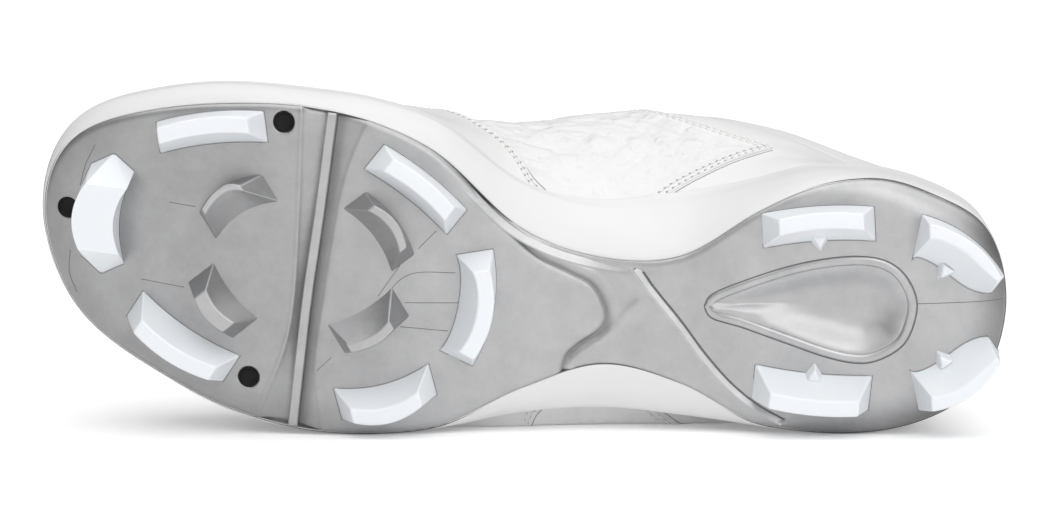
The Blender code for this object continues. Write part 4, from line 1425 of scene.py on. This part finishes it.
def on_upper(line, lateral):
    """Places (v, t) on the upper under a line drawn in the side view."""
    line = np.asarray(line, float)
    v = station(line[:, 0], 0.0, LENGTH)
    v = 2.0 - v if lateral else v
    t = np.full(len(line), SEARCH_LEVEL)
    for _ in range(SEARCH_ROUNDS):
        here = upper_skin(v, t)[:, (0, 2)]
        by_v = (upper_skin(v + PLAN_STEP, t)[:, (0, 2)] - here) / PLAN_STEP
        by_t = (upper_skin(v, t + PLAN_STEP)[:, (0, 2)] - here) / PLAN_STEP
        miss = line - here
        det = by_v[:, 0] * by_t[:, 1] - by_v[:, 1] * by_t[:, 0]
        move_v = (miss[:, 0] * by_t[:, 1] - miss[:, 1] * by_t[:, 0]) / det
        move_t = (by_v[:, 0] * miss[:, 1] - by_v[:, 1] * miss[:, 0]) / det
        v = v + np.clip(move_v, -SEARCH_V, SEARCH_V)
        t = np.clip(t + np.clip(move_t, -SEARCH_T, SEARCH_T), 0.0, NEAR_TOP)
    return v, t


def evenly(points, spacing):
    """Points at even steps along a line in space."""
    steps = np.linalg.norm(np.diff(points, axis=0), axis=1)
    run = np.concatenate([[0.0], np.cumsum(steps)])
    where = np.arange(0.0, run[-1], spacing)
    return np.stack([np.interp(where, run, points[:, k]) for k in range(3)], axis=-1)


STITCH_PITCH = 2.3
STITCH_LENGTH = 1.6
STITCH_RADIUS = 0.38
STITCH_LIFT = 0.1
HOLE_RADIUS = 0.3
HOLE_LIFT = 0.03
EDGE_RADIUS = 0.4
EDGE_SINK = 0.1
# Radius of the dark cord of painted shadow at a panel edge's foot
EDGE_LINE_RADIUS = 0.18
# Rounded ends of a stitch: share of its length and of its radius
STITCH_PROFILE = ((0.0, 0.35), (0.15, 0.8), (0.5, 1.0), (0.85, 0.8), (1.0, 0.35))
STITCH_SIDES = 6
CORD_SIDES = 8
HOLE_SIDES = 8
# Direction that the circle of a hole is started from
SKEW = (0.3, 0.5, 0.8)
# Line, the distances of its stitch rows from it, and whether their holes show
STITCH_ROWS = (
    (FRONT_EDGE, (-0.9, -2.1), True),
    (REAR_EDGE, (-0.9, -2.1), True),
    (COLLAR_SEAM, (-1.2, -2.4), False),
)


def capsule(start, finish, out, radius):
    """A short thread lying along the surface, with rounded ends."""
    ring = radius * circle(np.cross(unit(finish - start), out), out, STITCH_SIDES)
    rings = [start + (finish - start) * share + ring * size for share, size in STITCH_PROFILE]
    return np.concatenate(rings), capped_faces(len(rings), STITCH_SIDES)


def disc(centre, out, radius):
    """A small flat dot on the surface."""
    side = unit(np.cross(out, SKEW))
    return centre + radius * circle(side, np.cross(out, side), HOLE_SIDES), [tuple(range(HOLE_SIDES))]


def cord(path, across, over, wide, tall):
    """A cord along a path, its section drawn by distances across and over the path."""
    rings = path[:, None] + wide[None, :, None] * across[:, None] + tall[None, :, None] * over[:, None]
    return rings.reshape(-1, 3), capped_faces(len(path), len(wide))


def tube(path, outs, radius):
    """A thin round cord lying along a path on the surface."""
    across = unit(np.cross(np.gradient(path, axis=0), outs))
    turn = turns(CORD_SIDES)
    return cord(path, across, outs, radius * np.cos(turn), radius * np.sin(turn))


def add_panel_edges(leather, painted_shade):
    """The rounded cut edges of the overlapping panels, each with a dark line of painted shadow at its foot.
    """
    edges = Patchwork()
    feet = Patchwork()
    for line in (FRONT_EDGE, REAR_EDGE):
        for lateral in (False, True):
            v, t = on_upper(offset_line(line, -EDGE_RADIUS), lateral)
            edges.add(*tube(upper_surface(v, t, -EDGE_SINK), upper_outward(v, t), EDGE_RADIUS))
            # A dark cord at the edge's foot: painted shadow
            v, t = on_upper(offset_line(line, EDGE_RADIUS), lateral)
            feet.add(*tube(upper_surface(v, t), upper_outward(v, t), EDGE_LINE_RADIUS))
    edges.piece("panel_edges", leather, "upper")
    feet.piece("panel_edge_shadows", painted_shade, "upper")


def add_stitches(thread, painted_shade):
    """Two rows of short stitches along each seam, with needle holes, grey discs of painted shade, where
    they show.
    """
    threads = Patchwork()
    holes = Patchwork()
    for line, distances, holes_show in STITCH_ROWS:
        for distance in distances:
            for lateral in (False, True):
                v, t = on_upper(offset_line(line, distance), lateral)
                places = upper_surface(v, t, STITCH_LIFT)
                outs = upper_outward(v, t)
                spots = evenly(places, STITCH_PITCH)
                nearest = np.argmin(np.linalg.norm(spots[:, None] - places[None], axis=-1), axis=1)
                for here, there, k in zip(spots[:-1], spots[1:], nearest):
                    along = unit(there - here)
                    threads.add(*capsule(here, here + along * STITCH_LENGTH, outs[k], STITCH_RADIUS))
                    gap = here + along * (STITCH_LENGTH + STITCH_PITCH) / 2.0
                    # A grey disc of painted shade for the needle hole
                    if holes_show:
                        holes.add(*disc(gap + outs[k] * HOLE_LIFT, outs[k], HOLE_RADIUS))
    threads.piece("seam_stitches", thread, "upper")
    holes.piece("seam_holes", painted_shade, "upper")


# Tongue, insole and lace
TONGUE_CLEARANCE = 0.8
TONGUE_THICKNESS = 3.0
TONGUE_CROWN = 0.04
TONGUE_ROWS = ((0.83, 1.82), (0.79, 1.82), (0.75, 1.82), (0.70, 1.82), (0.65, 1.82),
               (0.60, 1.82), (0.55, 1.84), (0.50, 1.88), (0.47, 1.94))
TONGUE_TOP_WIDTHS = (0.54, 0.50, 0.46)
TONGUE_TOP_RISE = (-7.0, 0.0, 7.0)
TONGUE_PUFF = 1.2
TONGUE_FREE_ROWS = (5.0, 2.0)
TONGUE_SOFTENING = 2
TUCK_POINTS = 5
CROWN_POINTS = 7


def tongue_row(u, tuck, depth):
    """Points across the tongue, tucked under the upper's wall on both sides."""
    levels = np.linspace(tuck, 2.0, TUCK_POINTS)
    medial = beside_upper(u, levels, -depth)
    lateral = beside_upper(2.0 - u, levels, -depth)
    width = np.linalg.norm(medial[-1] - lateral[-1])
    share = np.linspace(0.0, 1.0, CROWN_POINTS + 2)[1:-1, None]
    middle = medial[-1] + (lateral[-1] - medial[-1]) * share
    middle[:, 2] += TONGUE_CROWN * width * np.sin(math.pi * share[:, 0])
    return np.concatenate([medial, middle, lateral[::-1]])


def add_tongue(material):
    """The padded tongue, from under the vamp to a free rounded top above the last eyelets."""
    sides = []
    for depth in (WALL + TONGUE_CLEARANCE, WALL + TONGUE_CLEARANCE + TONGUE_THICKNESS):
        rows = [tongue_row(u, tuck, depth) for u, tuck in TONGUE_ROWS]
        top = rows[-1]
        middle = top.mean(axis=0)
        for step, width in enumerate(TONGUE_TOP_WIDTHS, start=1):
            narrowed = middle + (top - middle) * np.array([1.0, width, width])
            rows.append(narrowed + np.array(TONGUE_TOP_RISE) * step)
        sides.append(np.array(rows))
    over, under = sides
    row_count, across = over.shape[:2]
    thick = unit(over - under)
    puff = np.sin(np.linspace(0.0, math.pi, across))[None, :, None]
    first_free, all_free = TONGUE_FREE_ROWS
    free = ramp(np.arange(row_count), row_count - first_free, row_count - all_free)[:, None, None]
    over = over + thick * puff * free * TONGUE_PUFF
    under = under - thick * puff * free * TONGUE_PUFF
    rings = np.concatenate([over, under[:, ::-1]], axis=1)
    size = 2 * across
    faces = ring_faces(row_count, size)
    for start in (0, (row_count - 1) * size):
        for i in range(across - 1):
            faces.append((start + i, start + i + 1, start + size - 2 - i, start + size - 1 - i))
    obj = add_piece("tongue_pad", rings.reshape(-1, 3), faces, material, "lining", ("tongue",))
    soften = obj.modifiers.new("soft", "SUBSURF")
    soften.levels = TONGUE_SOFTENING
    soften.render_levels = TONGUE_SOFTENING


INSOLE_THICKNESS = 4.0
INSOLE_CLEARANCE = 2.0
INSOLE_STATIONS = 240
INSOLE_NARROWEST = 15.0
INSOLE_REACH = (-0.1, 0.95)
# From the lower edge to the middle: distance inwards and share of the thickness
INSOLE_SECTION = ((0.0, 0.0), (0.0, 0.6), (-0.1, 0.85), (0.9, 1.0), (4.0, 0.93), (9.0, 0.8), (14.0, 0.75))


def add_insole(material):
    """The footbed: a soft-edged pad, slightly dished along its middle."""
    v = np.arange(INSOLE_STATIONS) * 2.0 / INSOLE_STATIONS
    outline = moved_out(rim_loop, v, -(FEATHER_INSET + WALL + INSOLE_CLEARANCE))
    middle = np.stack([outline[:, 0], (outline[:, 1] + outline[::-1, 1]) / 2.0], axis=-1)
    width = np.linalg.norm(outline - middle, axis=1, keepdims=True)
    rings = []
    for inwards, share in INSOLE_SECTION:
        reach = np.clip(inwards / np.maximum(width, INSOLE_NARROWEST), *INSOLE_REACH)
        plan = outline + (middle - outline) * reach
        rings.append(raised(plan, feather(plan[:, 0]) + SEAT_GAP + INSOLE_THICKNESS * share))
    faces = laddered_faces(len(rings), INSOLE_STATIONS)
    obj = add_piece("insole_pad", np.concatenate(rings), faces, material, "lining", ("insole",))


LACE_STATIONS = (0.66, 0.62, 0.58, 0.54, 0.50, 0.46)
LACE_EYELET = 1.86
LACE_LEVELS = (LACE_EYELET, LACE_EYELET, 1.93, 2.0)
LACE_LIFTS = (-2.6, 0.6, 1.6, 1.9)
LACE_WIDTH = 5.0
LACE_HEIGHT = 1.5
LACE_OVERLAP = 1.1
LACE_LOWEST_RISE = 0.6
LACE_PIECES = 6
LACE_SIDES = 12
LACE_FLATNESS = 0.7
LACE_UP = (0.5, 0.0, 0.87)
EYELET_SECTION_SIDES = 10
EYELET_SIDES = 32
EYELET_RADIUS = 2.9
EYELET_WIRE = 0.75
EYELET_FLATNESS = 0.6
EYELET_LIFT = 0.15
EYELET_STEP = 0.01


def lace_path(start_v, finish_v, rise):
    """One crossing: up out of an eyelet, over the throat and down into the one across."""
    up = beside_upper(start_v, LACE_LEVELS, LACE_LIFTS)
    down = beside_upper(finish_v, LACE_LEVELS, LACE_LIFTS)[::-1]
    middle = (up[-1] + down[0]) / 2.0
    middle[2] += rise
    return curve_through(np.concatenate([up, [middle], down]), LACE_PIECES)


def flattened(values):
    """Sines or cosines that make a circle nearer to a square."""
    return np.sign(values) * np.abs(values) ** LACE_FLATNESS


def ribbon(path):
    """A flat braided lace along a path."""
    along = unit(np.gradient(path, axis=0))
    across = unit(np.cross(along, LACE_UP))
    turn = turns(LACE_SIDES)
    wide = flattened(np.cos(turn)) * LACE_WIDTH / 2.0
    tall = flattened(np.sin(turn)) * LACE_HEIGHT / 2.0
    return cord(path, across, np.cross(across, along), wide, tall)


def add_lace(material):
    """A straight lowest bar, then crossings up to the top eyelets."""
    lace = Patchwork()
    lowest = LACE_STATIONS[0]
    lace.add(*ribbon(lace_path(lowest, 2.0 - lowest, LACE_LOWEST_RISE)))
    for low, high in zip(LACE_STATIONS[:-1], LACE_STATIONS[1:]):
        lace.add(*ribbon(lace_path(low, 2.0 - high, 0.0)))
        lace.add(*ribbon(lace_path(2.0 - low, high, 2.0 * LACE_OVERLAP)))
    lace.piece("lace_ribbon", material, "lace", ("lace",))


def add_eyelets(material, painted_shade):
    """A worked ring at each end of a crossing, with a dark disc of painted shade in its hole."""
    rings = Patchwork()
    holes = Patchwork()
    for u in LACE_STATIONS:
        for v in (u, 2.0 - u):
            here = np.array([v])
            level = np.array([LACE_EYELET])
            out = upper_outward(here, level)[0]
            centre = upper_surface(here, level, EYELET_LIFT)[0]
            side = upper_skin(here, level + EYELET_STEP)[0] - upper_skin(here, level - EYELET_STEP)[0]
            side = unit(side - out * (side @ out))
            spokes = circle(side, np.cross(out, side), EYELET_SIDES)
            points = [centre + spokes * (EYELET_RADIUS + EYELET_WIRE * math.cos(turn))
                      + out * EYELET_WIRE * EYELET_FLATNESS * math.sin(turn)
                      for turn in turns(EYELET_SECTION_SIDES)]
            rings.add(np.concatenate(points), ring_faces(EYELET_SECTION_SIDES, EYELET_SIDES, True))
            # A flat disc of painted shade across the ring's hole
            holes.add(centre + spokes * EYELET_RADIUS, [tuple(range(EYELET_SIDES))])
    rings.piece("eyelets", material, "upper")
    holes.piece("eyelet_holes", painted_shade, "upper")


# Stage
TARGET = Vector((0.0011, -0.060, 0.0514))
CAMERA_DISTANCE = 0.870
CAMERA_ELEVATION = 5.6
PHOTO_WIDTH = 1055.0
FOCAL_PIXELS = 3075.0
SENSOR_WIDTH = 36.0
CLIP_START = 0.01


def add_camera():
    """The photo's view: from the front, a little above the floor."""
    rise = math.radians(CAMERA_ELEVATION)
    camera = bpy.data.objects.new("camera", bpy.data.cameras.new("camera"))
    camera.data.sensor_width = SENSOR_WIDTH
    camera.data.lens = FOCAL_PIXELS / PHOTO_WIDTH * SENSOR_WIDTH
    camera.data.clip_start = CLIP_START
    camera.location = TARGET + CAMERA_DISTANCE * Vector((0.0, -math.cos(rise), math.sin(rise)))
    camera.rotation_euler = (TARGET - camera.location).to_track_quat("-Z", "Y").to_euler()
    bpy.context.collection.objects.link(camera)
    bpy.context.scene.camera = camera


# A wide overhead light, a softbox right of the camera, a surround brighter in front and above,
# and a faintly glowing table
OVERHEAD_FROM = Vector((0.12, -0.32, 0.94))
OVERHEAD_STRENGTH = 1.85
OVERHEAD_SPREAD_DEG = 90.0
SOFTBOX_AT = Vector((0.46, -1.0, 0.38))
SOFTBOX_AIM = Vector((0.03, -0.02, 0.05))
SOFTBOX_SIZE = 0.5
SOFTBOX_POWER = 2.15
SURROUND_ALL = 0.14
SURROUND_FRONT = 0.27
SURROUND_ABOVE = 0.70
SURROUND_POWER = 2.0
FLOOR_SIZE = 30.0
FLOOR_TONE = 0.97
FLOOR_GLOW = 0.12


def add_light(name, kind, strength, towards):
    """A light that shines along a direction."""
    light = bpy.data.objects.new(name, bpy.data.lights.new(name, kind))
    light.data.energy = strength
    light.rotation_euler = towards.to_track_quat("-Z", "Y").to_euler()
    bpy.context.collection.objects.link(light)
    return light


def math_node(tree, operation, source, *values):
    """A Math node fed by a socket, with values in its other inputs."""
    node = tree.nodes.new("ShaderNodeMath")
    node.operation = operation
    tree.links.new(source, node.inputs[0])
    for k, value in enumerate(values, start=1):
        node.inputs[k].default_value = value
    return node


def add_surround():
    """A white world whose strength grows towards the front and overhead."""
    world = bpy.data.worlds.new("studio")
    world.use_nodes = True
    tree = world.node_tree
    coordinates = tree.nodes.new("ShaderNodeTexCoord")
    direction = tree.nodes.new("ShaderNodeSeparateXYZ")
    tree.links.new(coordinates.outputs["Generated"], direction.inputs[0])
    total = None
    for axis_name, sign, strength in (("Y", -1.0, SURROUND_FRONT), ("Z", 1.0, SURROUND_ABOVE)):
        facing = math_node(tree, "MULTIPLY", direction.outputs[axis_name], sign)
        facing.use_clamp = True
        falloff = math_node(tree, "POWER", facing.outputs[0], SURROUND_POWER)
        share = math_node(tree, "MULTIPLY_ADD", falloff.outputs[0], strength, SURROUND_ALL)
        if total is not None:
            tree.links.new(total, share.inputs[2])
        total = share.outputs[0]
    background = tree.nodes["Background"]
    background.inputs["Color"].default_value = (1.0, 1.0, 1.0, 1.0)
    tree.links.new(total, background.inputs["Strength"])
    bpy.context.scene.world = world


def add_stage():
    """The lights, the surround and the pale floor."""
    overhead = add_light("overhead", "SUN", OVERHEAD_STRENGTH, -OVERHEAD_FROM)
    overhead.data.angle = math.radians(OVERHEAD_SPREAD_DEG)
    softbox = add_light("softbox", "AREA", SOFTBOX_POWER, SOFTBOX_AIM - SOFTBOX_AT)
    softbox.location = SOFTBOX_AT
    softbox.data.size = SOFTBOX_SIZE
    add_surround()
    bpy.ops.mesh.primitive_plane_add(size=FLOOR_SIZE, location=(0.0, 0.0, 0.0))
    floor = bpy.context.object
    floor.name = "floor"
    material = grained_material("pale_floor", grey(FLOOR_TONE), 0.8, FLOOR_GRAIN, Specular_IOR_Level=0.0,
                                Emission_Color=(1.0, 1.0, 1.0, 1.0), Emission_Strength=FLOOR_GLOW)
    floor.data.materials.append(material)
    bpy.context.scene.view_settings.view_transform = "Standard"


def main():
    """The stage first, then each piece of the shoe."""
    add_camera()
    add_stage()
    silver = silver_material("silver_raised", 0.44, 0.42)
    # A darker copy of the silver, painted shade for the inner studs' walls
    shaded = silver_material("silver_shaded_walls", 0.36, 0.42)
    trim = silver_material("silver_trim", 0.43, 0.36)
    white = stud_material()
    leather = leather_material("white_leather", LEATHER_GRAIN)
    crinkled = leather_material("crinkled_leather", LEATHER_GRAIN + CRINKLE_GRAIN)
    lining = fabric_material("white_lining", (0.70, 0.70, 0.71), 420.0)
    thread = thread_material()
    # Grey of painted shade for holes and under panel edges
    painted_shade = painted_shade_material()
    add_plate(plate_material())
    add_plate_details(silver, trim, shade_and_mould_line_material())
    add_studs(white, shaded, silver)
    add_inserts(insert_material())
    add_midsole(foam_material())
    add_upper(leather, lining, crinkled)
    add_panel_edges(leather, painted_shade)
    add_stitches(thread, painted_shade)
    add_tongue(lining)
    add_insole(lining)
    add_lace(fabric_material("white_lace", (0.80, 0.80, 0.80), 700.0))
    add_eyelets(leather, painted_shade)


main()
